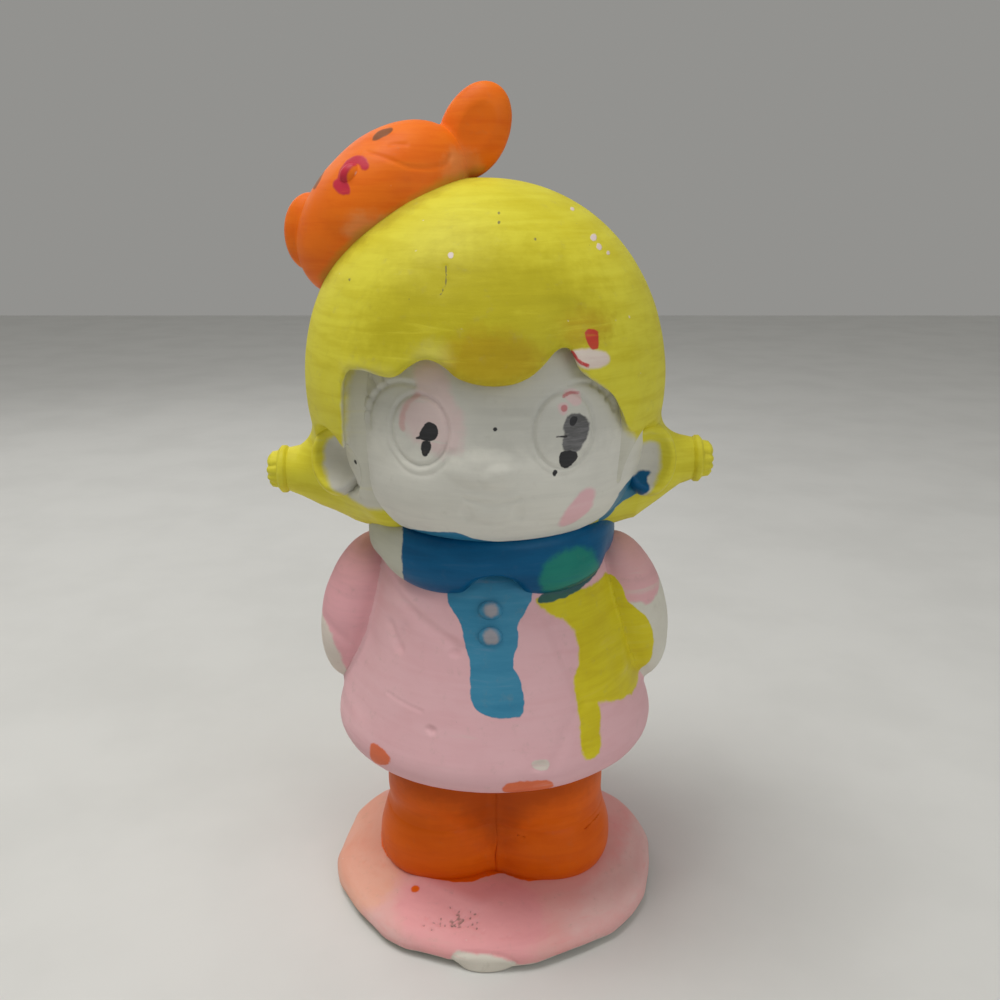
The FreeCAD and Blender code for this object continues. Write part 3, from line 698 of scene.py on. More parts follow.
@dataclass
class Sculptor:
    """Turns forms into closed meshes of even quads that follow the surface."""

    block: int = 6
    batch: int = 4000
    deepest_paint: float = 6.0
    sink: float = 0.1
    grain: Sequence[tuple[Lumps, float]] = (
        (Lumps(13.0, 11), 0.16),
        (Lumps(5.2, 23), 0.07),
        (Lumps(1.9, 31), 0.022),
    )

    def sample(self, form: Form, space: NodeBox, voxel: float) -> tuple[np.ndarray, np.ndarray]:
        """Fills a grid with the form's distances, finely near the surface only.

        Args:
            form: the form.
            space: the box to look in.
            voxel: the grid's pitch.

        Returns:
            The grid's lowest corner and its values.
        """
        step = self.block * voxel
        counts = np.ceil((space.high - space.low) / step).astype(int) + 1
        low = space.centre - counts * step / 2
        blocks = np.stack(np.meshgrid(*[np.arange(n) for n in counts], indexing="ij"), -1).reshape(-1, 3)
        middles = (low + (blocks + 0.5) * step - voxel / 2).astype(np.float32)
        rough = form.distance(middles).astype(np.float32)
        values = np.repeat(rough.reshape(counts), self.block, 0)
        values = np.repeat(np.repeat(values, self.block, 1), self.block, 2)
        active = blocks[np.abs(rough) < step * 1.35]
        inner = np.stack(np.meshgrid(*[np.arange(self.block)] * 3, indexing="ij"), -1).reshape(-1, 3)
        for first in range(0, len(active), self.batch):
            nodes = (active[first : first + self.batch, None, :] * self.block + inner[None]).reshape(-1, 3)
            found = form.distance((low + nodes * voxel).astype(np.float32))
            values[nodes[:, 0], nodes[:, 1], nodes[:, 2]] = found
        values[values == 0.0] = 1e-4
        for axis in range(3):
            for end in (0, -1):
                face = [slice(None)] * 3
                face[axis] = end
                values[tuple(face)] = voxel
        return low, values

    def skin(self, low: np.ndarray, values: np.ndarray, voxel: float) -> tuple[np.ndarray, np.ndarray]:
        """Lays a net of quads over the zero surface of a grid.

        Args:
            low: the grid's lowest corner.
            values: its values.
            voxel: its pitch.

        Returns:
            The net's points and its quads.
        """
        inside = values < 0.0
        shape = values.shape
        cells, places, flips = [], [], []
        for axis in range(3):
            first = [slice(None)] * 3
            second = [slice(None)] * 3
            first[axis], second[axis] = slice(0, -1), slice(1, None)
            start = np.argwhere(inside[tuple(first)] != inside[tuple(second)])
            end = start.copy()
            end[:, axis] += 1
            a = values[tuple(start.T)]
            b = values[tuple(end.T)]
            place = start.astype(np.float64)
            place[:, axis] += a / (a - b)
            u, v = (axis + 1) % 3, (axis + 2) % 3
            around = []
            for du, dv in ((0, 0), (-1, 0), (-1, -1), (0, -1)):
                cell = start.copy()
                cell[:, u] += du
                cell[:, v] += dv
                around.append(np.ravel_multi_index(tuple(cell.T), shape))
            cells.append(np.stack(around, 1))
            places.append(place)
            flips.append(a > 0.0)
        corners = np.concatenate(cells)
        place = np.concatenate(places)
        flip = np.concatenate(flips)
        corners[flip] = corners[flip][:, ::-1]
        used, quads = np.unique(corners.ravel(), return_inverse=True)
        quads = quads.reshape(-1, 4)
        count = np.bincount(quads.ravel(), minlength=len(used))
        points = np.empty((len(used), 3))
        for axis in range(3):
            weights = np.repeat(place[:, axis], 4)
            points[:, axis] = np.bincount(quads.ravel(), weights, len(used)) / count
        return low + points * voxel, quads

    def settle(self, form: Form, points: np.ndarray, voxel: float) -> tuple[np.ndarray, np.ndarray]:
        """Moves points onto the form's surface.

        Args:
            form: the form.
            points: points that lie near it.
            voxel: the pitch of the net, which limits the moves.

        Returns:
            The moved points and their outward directions.
        """
        normal = np.zeros_like(points)
        reach = 0.25 * voxel
        for _ in range(2):
            here = form.distance(points.astype(np.float32)).astype(np.float64)
            for axis in range(3):
                shift = np.zeros(3)
                shift[axis] = reach
                ahead = form.distance((points + shift).astype(np.float32))
                back = form.distance((points - shift).astype(np.float32))
                normal[:, axis] = (ahead - back) / (2 * reach)
            size = np.maximum(np.linalg.norm(normal, axis=1), 0.3)
            move = np.clip(here / size, -0.6 * voxel, 0.6 * voxel)
            points = points - normal / size[:, None] * move[:, None]
        size = np.maximum(np.linalg.norm(normal, axis=1), 1e-6)
        return points, normal / size[:, None]

    def unevenness(self, points: np.ndarray) -> np.ndarray:
        """Gives how far the cast surface strays from its true form.

        Args:
            points: points on the surface.

        Returns:
            The height of each, a little low all over so that the piece stays within its size.
        """
        total = np.zeros(len(points), np.float32)
        for lumps, height in self.grain:
            total += height * lumps.height(points)
        return total - self.sink

    def make(
        self,
        name: str,
        form: Form,
        space: NodeBox,
        voxel: float,
        marks: Iterable[Mark] = (),
        paints: Iterable[PaintArea] = (),
    ) -> bpy.types.Object:
        """Makes one piece.

        Args:
            name: the piece's name.
            form: its form.
            space: the box it lies in.
            voxel: the size of its quads.
            marks: the relief on it.
            paints: the areas of paint on it.

        Returns:
            The piece.
        """
        low, values = self.sample(form, space.grown(2.0 * voxel), voxel)
        points, quads = self.skin(low, values, voxel)
        points, normal = self.settle(form, points, voxel)
        flat = points.astype(np.float32)
        rise = self.unevenness(flat)
        for mark in marks:
            rise += mark.height(flat)
        points = points + normal * rise[:, None]
        limits = np.array([list(c) for c in cad_box]) / MILLIMETRE
        points = np.clip(points, limits[0], limits[1])
        piece = self.mesh(name, points * MILLIMETRE, quads)
        for paint in paints:
            layer = piece.data.attributes.new(paint.name, "FLOAT", "POINT")
            depth = np.clip(paint.depth(flat), -self.deepest_paint, self.deepest_paint)
            layer.data.foreach_set("value", depth.astype(np.float32))
        LOG.info("%s: %d points, %d quads", name, len(points), len(quads))
        return piece

    def mesh(self, name: str, points: np.ndarray, quads: np.ndarray) -> bpy.types.Object:
        """Makes an object of points and quads, shaded smooth.

        Args:
            name: the object's name.
            points: its points, in metres.
            quads: four point numbers for each quad.

        Returns:
            The object.
        """
        data = bpy.data.meshes.new(name)
        data.vertices.add(len(points))
        data.vertices.foreach_set("co", points.astype(np.float32).ravel())
        data.loops.add(quads.size)
        data.loops.foreach_set("vertex_index", quads.astype(np.int32).ravel())
        data.polygons.add(len(quads))
        data.polygons.foreach_set("loop_start", np.arange(0, quads.size, 4, dtype=np.int32))
        data.update(calc_edges=True)
        data.validate()
        data.shade_smooth()
        piece = bpy.data.objects.new(name, data)
        bpy.context.scene.collection.objects.link(piece)
        return piece


# ---------------------------------------------------------------------------
# Finishes
# ---------------------------------------------------------------------------


@dataclass(frozen=True)
class Paint:
    """A water-based hobby paint as it dries on plaster."""

    colour: Colour
    thick: Colour
    streaks: float = 0.5
    streak_pitch: float = 1.6
    streak_turn: float = 0.0
    roughness: float = 0.5
    film: float = 0.05


def replace_colour(paint: Paint, colour: Colour) -> Paint:
    """Gives a paint of another colour that brushes the same way."""
    darker = tuple(0.85 * value for value in colour)
    return replace(paint, colour=colour, thick=darker)


class Colours:
    """The paints on the figurine."""

    PLASTER = Paint((0.73, 0.71, 0.62), (0.66, 0.63, 0.54), 0.3, roughness=0.85)
    YELLOW = Paint((0.74, 0.68, 0.055), (0.60, 0.51, 0.018), 0.5, 2.2, 8.0, 0.5)
    BEAR_ORANGE = Paint((0.90, 0.19, 0.010), (0.80, 0.125, 0.004), 0.5, 2.0, 30.0, 0.5)
    LEG_ORANGE = Paint((0.80, 0.135, 0.0004), (0.66, 0.085, 0.0002), 0.35, 2.4, 10.0, 0.42)
    PINK = Paint((0.80, 0.49, 0.52), (0.75, 0.42, 0.45), 0.45, 2.6, 80.0, 0.6)
    BASE_PINK = Paint((0.78, 0.44, 0.41), (0.80, 0.33, 0.32), 0.5, 2.4, 12.0, 0.6)
    SALMON = Paint((0.80, 0.44, 0.32), (0.78, 0.34, 0.22), 0.5, 2.4, 20.0, 0.6)
    BLUE = Paint((0.002, 0.105, 0.25), (0.001, 0.07, 0.18), 0.5, 2.2, 4.0, 0.36)
    STRIP_BLUE = Paint((0.06, 0.27, 0.43), (0.03, 0.20, 0.35), 0.5, 2.2, 85.0, 0.42)
    GREEN = Paint((0.02, 0.26, 0.17), (0.01, 0.19, 0.15), 0.5, 2.0, 15.0, 0.4)
    DARK_GREEN = Paint((0.012, 0.12, 0.12), (0.008, 0.09, 0.10), 0.4, 2.0, 15.0, 0.4)
    PATCH_YELLOW = Paint((0.72, 0.62, 0.022), (0.60, 0.47, 0.012), 0.5, 2.2, 80.0, 0.42)
    SKIN_PINK = Paint((0.80, 0.50, 0.53), (0.76, 0.42, 0.46), 0.3, 2.0, 60.0, 0.6)
    ROSE = Paint((0.62, 0.36, 0.34), (0.55, 0.26, 0.25), 0.5, 1.2, 70.0, 0.6)
    RED = Paint((0.62, 0.03, 0.035), (0.45, 0.02, 0.03), 0.4, 1.2, 60.0, 0.4)
    BLACK = Paint((0.032, 0.032, 0.034), (0.05, 0.05, 0.055), 0.5, 1.0, 60.0, 0.5)
    GREY_BLACK = Paint((0.05, 0.05, 0.055), (0.16, 0.16, 0.17), 0.9, 0.8, 60.0, 0.5)
    BROWN = Paint((0.16, 0.075, 0.03), (0.11, 0.06, 0.035), 0.5, 1.2, 20.0, 0.5)
    CHALK = Paint((0.80, 0.70, 0.66), (0.72, 0.56, 0.54), 0.6, 1.2, 20.0, 0.7)
    DARK_BROWN = Paint((0.16, 0.14, 0.10), (0.10, 0.09, 0.07), 0.3, 1.0, 0.0, 0.8)


@dataclass(frozen=True)
class Coatwork:
    """One layer of paint on a piece."""

    paint: Paint
    area: Optional[str] = None
    ragged: float = 0.35
    soft: float = 0.22
    cover: float = 1.0
    thin: float = 0.25


@dataclass(frozen=True)
class Weathering:
    """How much a piece is chipped, rubbed and soiled."""

    chips: float = 0.25
    specks: float = 0.3
    grime: float = 0.2


class Shader:
    """Builds a node material step by step, with sizes in millimetres."""

    def __init__(self, name: str) -> None:
        """Starts an empty material.

        Args:
            name: its name.
        """
        self.material = bpy.data.materials.new(name)
        self.material.use_nodes = True
        self.tree = self.material.node_tree
        self.tree.nodes.clear()
        self.place = self.node("ShaderNodeTexCoord").outputs["Object"]

    def node(self, kind: str, **settings: object) -> bpy.types.Node:
        """Adds a node and sets its properties.

        Args:
            kind: the node's type.
            settings: the properties to set.

        Returns:
            The node.
        """
        made = self.tree.nodes.new(kind)
        for key, value in settings.items():
            setattr(made, key, value)
        return made

    def feed(self, socket: Socket, value: Value) -> None:
        """Links a socket to another one, or sets it to a value.

        Args:
            socket: the input to fill.
            value: another node's output, a number or a colour.
        """
        if isinstance(value, Socket):
            self.tree.links.new(value, socket)
        elif isinstance(value, tuple):
            socket.default_value = (*value, 1.0) if len(socket.default_value) == 4 else value
        else:
            socket.default_value = value

    def sum(self, kind: str, first: Value, second: Value = 0.0) -> Socket:
        """Joins two values by a kind of arithmetic.

        Args:
            kind: the kind, such as ADD.
            first: the first value.
            second: the second value.

        Returns:
            The result.
        """
        made = self.node("ShaderNodeMath", operation=kind)
        self.feed(made.inputs[0], first)
        self.feed(made.inputs[1], second)
        return made.outputs[0]

    def spread(self, value: Value, low: float, high: float, start: float = 0.0, end: float = 1.0) -> Socket:
        """Maps a range of values smoothly onto another range, and holds it at both ends.

        Args:
            value: the value to map.
            low: the value that gives start.
            high: the value that gives end.
            start: the result at low.
            end: the result at high.

        Returns:
            The mapped value.
        """
        made = self.node("ShaderNodeMapRange", interpolation_type="SMOOTHSTEP")
        self.feed(made.inputs["Value"], value)
        for key, number in (("From Min", low), ("From Max", high), ("To Min", start), ("To Max", end)):
            made.inputs[key].default_value = number
        return made.outputs["Result"]

    def blend(self, share: Value, first: Value, second: Value) -> Socket:
        """Mixes two colours.

        Args:
            share: how much of the second one there is.
            first: the first colour.
            second: the second colour.

        Returns:
            The mixed colour.
        """
        made = self.node("ShaderNodeMix", data_type="RGBA")
        self.feed(made.inputs[0], share)
        self.feed(made.inputs[6], first)
        self.feed(made.inputs[7], second)
        return made.outputs[2]

    def cloud(self, pitch: float, detail: float = 3.0, rough: float = 0.55) -> Socket:
        """Makes a random pattern of soft spots.

        Args:
            pitch: how far apart the spots are, in millimetres.
            detail: how many finer patterns lie over it.
            rough: how strong those are.

        Returns:
            The pattern, between 0 and 1.
        """
        made = self.node("ShaderNodeTexNoise")
        self.feed(made.inputs["Vector"], self.place)
        made.inputs["Scale"].default_value = 1.0 / (pitch * MILLIMETRE)
        made.inputs["Detail"].default_value = detail
        made.inputs["Roughness"].default_value = rough
        return made.outputs["Fac"]

    def brushed(self, pitch: float, turn: float, length: float = 9.0) -> Socket:
        """Makes a random pattern drawn out along brush strokes.

        Args:
            pitch: how wide the streaks are, in millimetres.
            turn: the strokes' direction, in degrees from level.
            length: how many times longer than wide a streak is.

        Returns:
            The pattern, between 0 and 1.
        """
        tilt = self.node("ShaderNodeMapping")
        self.feed(tilt.inputs["Vector"], self.place)
        tilt.inputs["Rotation"].default_value = (0.0, math.radians(turn), 0.0)
        tilt.inputs["Scale"].default_value = (1.0 / length, 1.0 / length, 1.0)
        made = self.node("ShaderNodeTexNoise")
        self.feed(made.inputs["Vector"], tilt.outputs["Vector"])
        made.inputs["Scale"].default_value = 1.0 / (pitch * MILLIMETRE)
        made.inputs["Detail"].default_value = 4.0
        made.inputs["Roughness"].default_value = 0.6
        made.inputs["Distortion"].default_value = 0.35
        return made.outputs["Fac"]

    def crumbs(self, pitch: float, size: float) -> Socket:
        """Makes small separate spots with ragged edges.

        Args:
            pitch: how far apart the spots are, in millimetres.
            size: their radius, as a share of the pitch.

        Returns:
            1 inside a spot and 0 outside.
        """
        made = self.node("ShaderNodeTexVoronoi")
        self.feed(made.inputs["Vector"], self.place)
        made.inputs["Scale"].default_value = 1.0 / (pitch * MILLIMETRE)
        made.inputs["Randomness"].default_value = 1.0
        ragged = self.sum("ADD", made.outputs["Distance"], self.sum("MULTIPLY", self.cloud(0.5), 0.12))
        return self.spread(ragged, size + 0.06, size + 0.03)

    def area(self, name: str) -> Socket:
        """The depth inside a painted area, which the mesh carries."""
        return self.node("ShaderNodeAttribute", attribute_name=name).outputs["Fac"]


@dataclass(frozen=True)
class PaintedPlaster:
    """Cast gypsum plaster with layers of hand-brushed paint."""

    name: str
    layers: Sequence[Coatwork]
    wear: Weathering = Weathering()

    def material(self) -> bpy.types.Material:
        """Builds the node material.

        Returns:
            The material.
        """
        s = Shader(self.name)
        mottle = s.cloud(14.0, 4.0)
        fine = s.cloud(0.9, 4.0, 0.6)
        ragged_large = s.cloud(2.6, 3.0)
        bare = Colours.PLASTER
        colour = s.blend(s.spread(mottle, 0.35, 0.7), bare.colour, bare.thick)
        colour = s.blend(s.spread(fine, 0.62, 0.8, 0.0, 0.35), colour, (0.50, 0.47, 0.40))
        rough = 0.86
        height = s.sum("MULTIPLY", fine, 0.03)
        wander = s.sum("MULTIPLY", s.sum("SUBTRACT", ragged_large, 0.5), 2.0)
        for layer in self.layers:
            paint = layer.paint
            strokes = s.brushed(paint.streak_pitch, paint.streak_turn)
            pooled = s.spread(strokes, 0.38, 0.68, 0.0, paint.streaks)
            pooled = s.sum("ADD", pooled, s.spread(mottle, 0.4, 0.75, 0.0, 0.35))
            tone = s.blend(pooled, paint.colour, paint.thick)
            if layer.area is None:
                share = s.spread(strokes, 0.2, 0.32, 1.0 - layer.thin * 0.6, 1.0)
            else:
                edge = s.sum("ADD", s.area(layer.area), s.sum("MULTIPLY", wander, layer.ragged))
                share = s.spread(edge, -layer.soft, layer.soft)
                share = s.sum("MULTIPLY", share, s.spread(strokes, 0.25, 0.42, 1.0 - layer.thin, 1.0))
            share = s.sum("MULTIPLY", share, layer.cover)
            colour = s.blend(share, colour, tone)
            rough = s.sum("ADD", s.sum("MULTIPLY", s.sum("SUBTRACT", 1.0, share), rough),
                          s.sum("MULTIPLY", share, paint.roughness))
            film = s.sum("MULTIPLY", share, paint.film)
            height = s.sum("ADD", height, film)
            height = s.sum("ADD", height, s.sum("MULTIPLY", s.sum("MULTIPLY", strokes, share), 0.035))
        colour, height = self.worn(s, colour, height, mottle)
        self.finish(s, colour, rough, height)
        return s.material

    def worn(self, s: Shader, colour: Value, height: Value, mottle: Value) -> tuple[Value, Value]:
        """Adds chips down to the plaster, dark specks and grime.

        Args:
            s: the material so far.
            colour: its colour.
            height: its relief in millimetres.
            mottle: the large random pattern.

        Returns:
            The colour and the relief with the wear in them.
        """
        patchy = s.cloud(9.0, 2.0)
        chips = s.sum("MULTIPLY", s.crumbs(5.2, 0.055), s.spread(patchy, 0.62 - 0.12 * self.wear.chips, 0.66))
        chips = s.sum("MULTIPLY", chips, min(1.0, 2.0 * self.wear.chips))
        colour = s.blend(chips, colour, (0.80, 0.77, 0.68))
        specks = s.sum("MULTIPLY", s.crumbs(3.4, 0.03), s.spread(mottle, 0.50, 0.60))
        specks = s.sum("MULTIPLY", specks, min(1.0, 2.2 * self.wear.specks))
        colour = s.blend(specks, colour, (0.13, 0.11, 0.07))
        grime = s.spread(s.cloud(3.0, 6.0, 0.7), 0.55, 0.82, 0.0, self.wear.grime)
        colour = s.blend(grime, colour, (0.30, 0.26, 0.18))
        height = s.sum("SUBTRACT", height, s.sum("MULTIPLY", chips, 0.09))
        return colour, s.sum("SUBTRACT", height, s.sum("MULTIPLY", specks, 0.04))

    def finish(self, s: Shader, colour: Value, rough: Value, height: Value) -> None:
        """Puts the colour, the roughness and the relief on a surface shader.

        Args:
            s: the material so far.
            colour: its colour.
            rough: its roughness.
            height: its relief in millimetres.
        """
        bump = s.node("ShaderNodeBump")
        bump.inputs["Strength"].default_value = 0.8
        bump.inputs["Distance"].default_value = MILLIMETRE
        s.feed(bump.inputs["Height"], height)
        surface = s.node("ShaderNodeBsdfPrincipled")
        s.feed(surface.inputs["Base Color"], colour)
        s.feed(surface.inputs["Roughness"], rough)
        s.feed(surface.inputs["Normal"], bump.outputs["Normal"])
        surface.inputs["Specular IOR Level"].default_value = 0.16
        out = s.node("ShaderNodeOutputMaterial")
        s.tree.links.new(surface.outputs["BSDF"], out.inputs["Surface"])


# ---------------------------------------------------------------------------
# Areas of paint that cross from one piece to the next
# ---------------------------------------------------------------------------


class Areas:
    """Where each colour lies, in millimetres. An area is used on every piece that it touches."""

    STRIP = Patch("strip", [
        (-11, 97), (-10.8, 88.1), (-8.5, 84.3), (-6.9, 81.9), (-6.7, 78.7), (-5.1, 74.7),
        (-5.4, 70), (-5.1, 65.9), (-3.1, 64), (2.5, 62.9), (6.8, 63.4), (6.8, 66.6), (5.9, 71.5),
        (3.9, 74.5), (5.6, 78.8), (5.4, 83.3), (7.2, 85.1), (8.8, 88.4), (9.5, 97),
    ], rounds=1)
    SCARF_BLUE = Patch("scarf_blue", [
        (-20.8, -40), (-21, -19), (-19.5, -12), (-8, 0), (8, 10), (14, 40),
        (50, 40), (50, -40),
    ], View.PLAN)
    CHIN_BLUE = Patch("chin_blue", [
        (-22.5, 101), (-18.5, 103.4), (-14.4, 104.6), (-9.5, 105.9), (-7.6, 106), (-5, 104.4),
        (-2, 103.2), (2, 102.2), (12, 102), (20, 102.2), (28, 106), (34, 106),
        (34, 94), (-22.5, 94),
    ], rounds=1)
    JAW_BLUE = Patch("jaw_blue", [
        (23.5, 102.5), (27.4, 108.6), (28.6, 111.9), (31.4, 113.6), (33.5, 114.6), (36.6, 114.2),
        (35, 112.5), (35.9, 111.2), (34.8, 109.1), (33.2, 108), (28.8, 106.6), (26.8, 102),
    ], rounds=1)
    GREEN = Patch("green", [
        (10.2, 95), (12.6, 98), (17, 99.4), (21.3, 98.8), (24, 95), (24.5, 88), (14, 87.6),
        (10.4, 89.5),
    ])
    GREEN_EDGE = Patch("green_edge", [
        (9.8, 86.4), (10.8, 88.9), (17, 89.9), (23, 91.8), (28.6, 93.4), (28, 90.6), (22, 88),
        (16, 86.8),
    ])
    YELLOW_PATCH = Patch("yellow_patch", [
        (9, 88.6), (11.3, 84.9), (18.4, 80.9), (20, 73), (18.3, 68.7), (19.4, 60.6), (20.1, 51.4),
        (24.2, 50.9), (24.8, 54), (24.8, 60.8), (24.1, 62.6), (30.1, 60.2), (35.1, 58.8), (36.8, 61.2),
        (39.5, 64.4), (39.6, 71), (37.5, 76.5), (33.8, 79.7), (32, 81), (31.2, 84.3), (28.8, 87.2),
        (20.9, 87.3),
    ], rounds=1)
    LEFT_SLEEVE_PINK = Patch("sleeve_pink", [
        (22, 97), (36, 96), (42.5, 88), (41.4, 82.2), (38.6, 79.2), (35, 80.8), (30, 80),
        (22, 82),
    ])
    RIGHT_SLEEVE_BARE = Patch("sleeve_bare", [
        (-47, 75), (-41.2, 73), (-38.6, 67), (-37, 61), (-36, 52), (-47, 52),
    ])
    SLEEVE_BACK = Patch("sleeve_back", [
        (10, 100), (50, 100), (50, 50), (10, 50),
    ], View.BACK)
    SCARF_LIGHT = Patch("scarf_light", [
        (-6, 87), (-4.6, 91.8), (0.2, 94.2), (5.2, 91.6), (6.6, 87),
    ])
    SCARF_PINK = Patch("scarf_pink", [
        (-36, 94), (-30, 92), (-24, 89.6), (-19, 88), (-19, 84), (-36, 84),
    ])
    HEM_ORANGE = Several("hem_orange", [
        Patch("a", [(-29.5, 51.8), (-26.8, 52.6), (-24.3, 51.6), (-23.8, 48.5), (-29.5, 46)]),
        Patch("b", [(1.8, 48.6), (6, 49.4), (10.4, 49), (13.2, 48.2), (14, 45), (2, 45)]),
    ])
    HEM_CHIP = Patch("hem_chip", [(8, 53.4), (10.5, 53.9), (12.8, 53), (12.4, 51.4), (9.6, 51.2)])
    CHEEK = Patch("cheek", [
        (13.6, 106.6), (14.4, 110.5), (16.8, 114), (19.6, 115.9), (21.4, 114.8), (21.3, 110.5),
        (19.2, 108), (16.2, 105.8),
    ])
    EYE_SMEAR = Patch("eye_smear", [
        (-16.5, 141), (-12.6, 143.4), (-9.6, 141.5), (-8.6, 136), (-5.6, 131), (-6.6, 124.5),
        (-10, 123.5), (-14.5, 125), (-18.6, 129), (-19.4, 133), (-15.5, 136.6),
    ])
    EYE_ARC = Stroke("eye_arc", [(-15.6, 135.8), (-18, 133.4), (-18.9, 130), (-18.6, 128.6)], 0.55)
    BLOT = Several("blot", [
        Patch("a", [
            (-13.7, 130.5), (-12.5, 130.4), (-11.2, 129.7), (-11, 128), (-11.7, 126.9),
            (-13.4, 126.4), (-15, 126.9), (-14.9, 128.6),
        ], rounds=1),
        Patch("b", [
            (-13.9, 126.9), (-12.5, 126.2), (-12.8, 124.4), (-13.6, 123.1), (-14.7, 123.6),
            (-15, 125.6),
        ], rounds=1),
        Stroke("c", [(-14.6, 127.2), (-15.6, 127)], 0.22),
    ])
    BLOT_GREY = Patch("blot_grey", [
        (15.2, 132.2), (17, 132.2), (19.2, 131), (20, 128.8), (19.3, 126.4), (18, 124),
        (16, 123.4), (13.9, 124.9), (14.6, 127.6), (14.1, 130.2),
    ], rounds=1)
    BLOT_BLACK = Several("blot_black", [
        Patch("a", [
            (13.5, 124), (15, 124.5), (17.9, 123.6), (17.2, 121.4), (15.2, 120.3), (13.7, 121.2),
        ], rounds=1),
        Patch("b", [(12.2, 120.4), (13.2, 120.5), (13, 119.4), (12.3, 119)], rounds=1),
        Patch("c", [(15.6, 131.6), (17.4, 131.4), (17, 129.6), (15.4, 129.2)], rounds=1),
        Stroke("d", [(15, 127.4), (12.9, 127.6)], 0.2),
        Spots("e", [(0.4, 129.5, 0.42), (-30.9, 117.9, 0.5), (-28.6, 118.3, 0.25)]),
    ])
    EYE_ROSE = Several("eye_rose", [
        Patch("a", [(12.8, 134), (14.2, 134.5), (15.6, 134), (15, 132), (13.8, 131.6)]),
        Patch("b", [(14, 136.6), (16.4, 137.2), (18.4, 135.8), (18.2, 133.6), (16.2, 133.2)]),
    ])
    EYE_RED = Several("eye_red", [
        Stroke("a", [(14.2, 135.6), (15.6, 136.3), (17.6, 136)], 0.3),
        Spots("b", [(14.4, 133.2, 0.75)]),
    ])
    HAIR_RED = Several("hair_red", [
        Patch("a", [
            (18.4, 149), (21.4, 148.9), (21.4, 147), (21.6, 144.9), (19.8, 145), (18.9, 146.8),
        ], rounds=1),
        Stroke("b", [(15.8, 144.6), (17.2, 142.8), (19.2, 141.9)], 0.34),
    ])
    HAIR_CHALK = Patch("hair_chalk", [
        (15.4, 144.6), (17.6, 145.4), (21.8, 145), (24.2, 143.4), (23.6, 141.6), (19.8, 141),
        (17, 141.8),
    ])
    HAIR_THIN = Several("hair_thin", [
        Patch("a", [(-17, 143.4), (-12.4, 148), (-8, 145), (-9, 141.6), (-13, 143)]),
        Patch("b", [(-31.5, 141.6), (-24, 141.3), (-20, 141), (-20, 138), (-31.5, 139)]),
    ])
    HAIR_MARKS = Several("hair_marks", [
        Stroke("a", [(-9.4, 161.4), (-9.2, 158.5), (-10.4, 156.2)], 0.16),
        Spots("b", [(1.2, 171.4, 0.3), (1.2, 169.6, 0.35), (8.5, 166.4, 0.3), (-30, 158, 0.3)]),
    ])
    HAIR_WHITE = Spots("hair_white", [
        (-8.4, 163.4, 0.55), (17, 172.2, 0.4), (21.2, 166.6, 0.7), (22.3, 164.6, 0.6), (24.4, 163.4, 0.4),
        (-6, 149.8, 0.35), (28.6, 150.6, 0.3),
    ])
    BEAR_EYES = Several("bear_eyes", [
        Patch("a", [
            (-26.4, 186.4), (-25.6, 187.8), (-23.8, 188.6), (-22, 189.4), (-21.6, 188.4),
            (-22.8, 187.2), (-25, 186.2),
        ]),
        Patch("b", [
            (-40.6, 176.4), (-39.6, 176.2), (-38.2, 178.6), (-37.6, 180.4), (-38.8, 180.8),
            (-40.4, 178.6),
        ]),
    ])
    BEAR_RED = Several("bear_red", [
        Stroke("a", [
            (-27.2, 180.6), (-28, 181.9), (-30, 181.8), (-31.9, 180.2), (-32.3, 177.9),
            (-31.2, 175.8),
        ], 0.95),
        Patch("b", [(-34.6, 177), (-33, 178.4), (-31, 177.4), (-30.2, 174.8), (-33, 174.8)]),
    ])
    BEAR_THIN = Several("bear_thin", [
        Patch("a", [
            (-33, 166.5), (-30.6, 171.6), (-26, 171.2), (-22, 171), (-22, 168),
            (-28, 165),
        ]),
        Patch("b", [
            (-9.6, 185.4), (-6.6, 184.6), (-3, 182), (-1, 179), (-6, 177), (-11, 178),
        ]),
    ])
    # Painted shadow: darker orange on the tops of the legs under the smock's hem and in the valley between
    # the legs.
    LEG_SHADOW = Patch("leg_painted_shadow", [
        (-40, 60), (40, 60), (40, 33), (12, 32), (5, 24), (0, 17), (-5, 24),
        (-12, 32), (-40, 33),
    ])
    BROW_SHADE = Patch("brow_shade", [
        (-40, 150), (40, 150), (40, 128), (10, 124), (-10, 125), (-40, 128),
    ])
    # Painted shade: darker yellow over the front of the hair, where the light from above falls weakly.
    FRINGE_SHADE = Patch("fringe_painted_shade", [
        (-30, 144), (-10, 141), (10, 141), (24, 146), (20, 160), (0, 167),
        (-20, 162),
    ])
    FRINGE_OCHRE = Several("fringe_ochre", [
        Patch("a", [
            (-12, 141), (-4, 138), (4, 138), (12, 143), (6, 148), (-6, 150),
        ]),
        Patch("b", [(14, 148), (18, 146), (24, 148), (22, 152), (15, 152)]),
    ])
    BEAR_BORDER = Stroke("bear_border", [
        (-38, 157), (-32, 163.6), (-27.2, 167.4), (-22.4, 170.1), (-14.5, 175.2), (-8, 178.6),
        (-2, 180),
    ], 1)
    EAR_RIM = Several("ear_rim", [
        Patch("a", [
            (-32, 126), (-34, 123), (-38, 122), (-39.2, 118.6), (-39.2, 115),
            (-37.4, 111), (-34, 108.6), (-31, 106), (-46, 104), (-46, 127),
        ]),
        Patch("b", [
            (28, 127), (29.6, 120.6), (33.6, 120.4), (37.6, 121.4), (38.6, 117.4), (38.2, 113.6),
            (36, 110.6), (33, 106), (46, 104), (46, 127),
        ]),
        Patch("c", [(-60, 90), (60, 90), (60, 130), (-60, 130)], View.BACK),
    ])
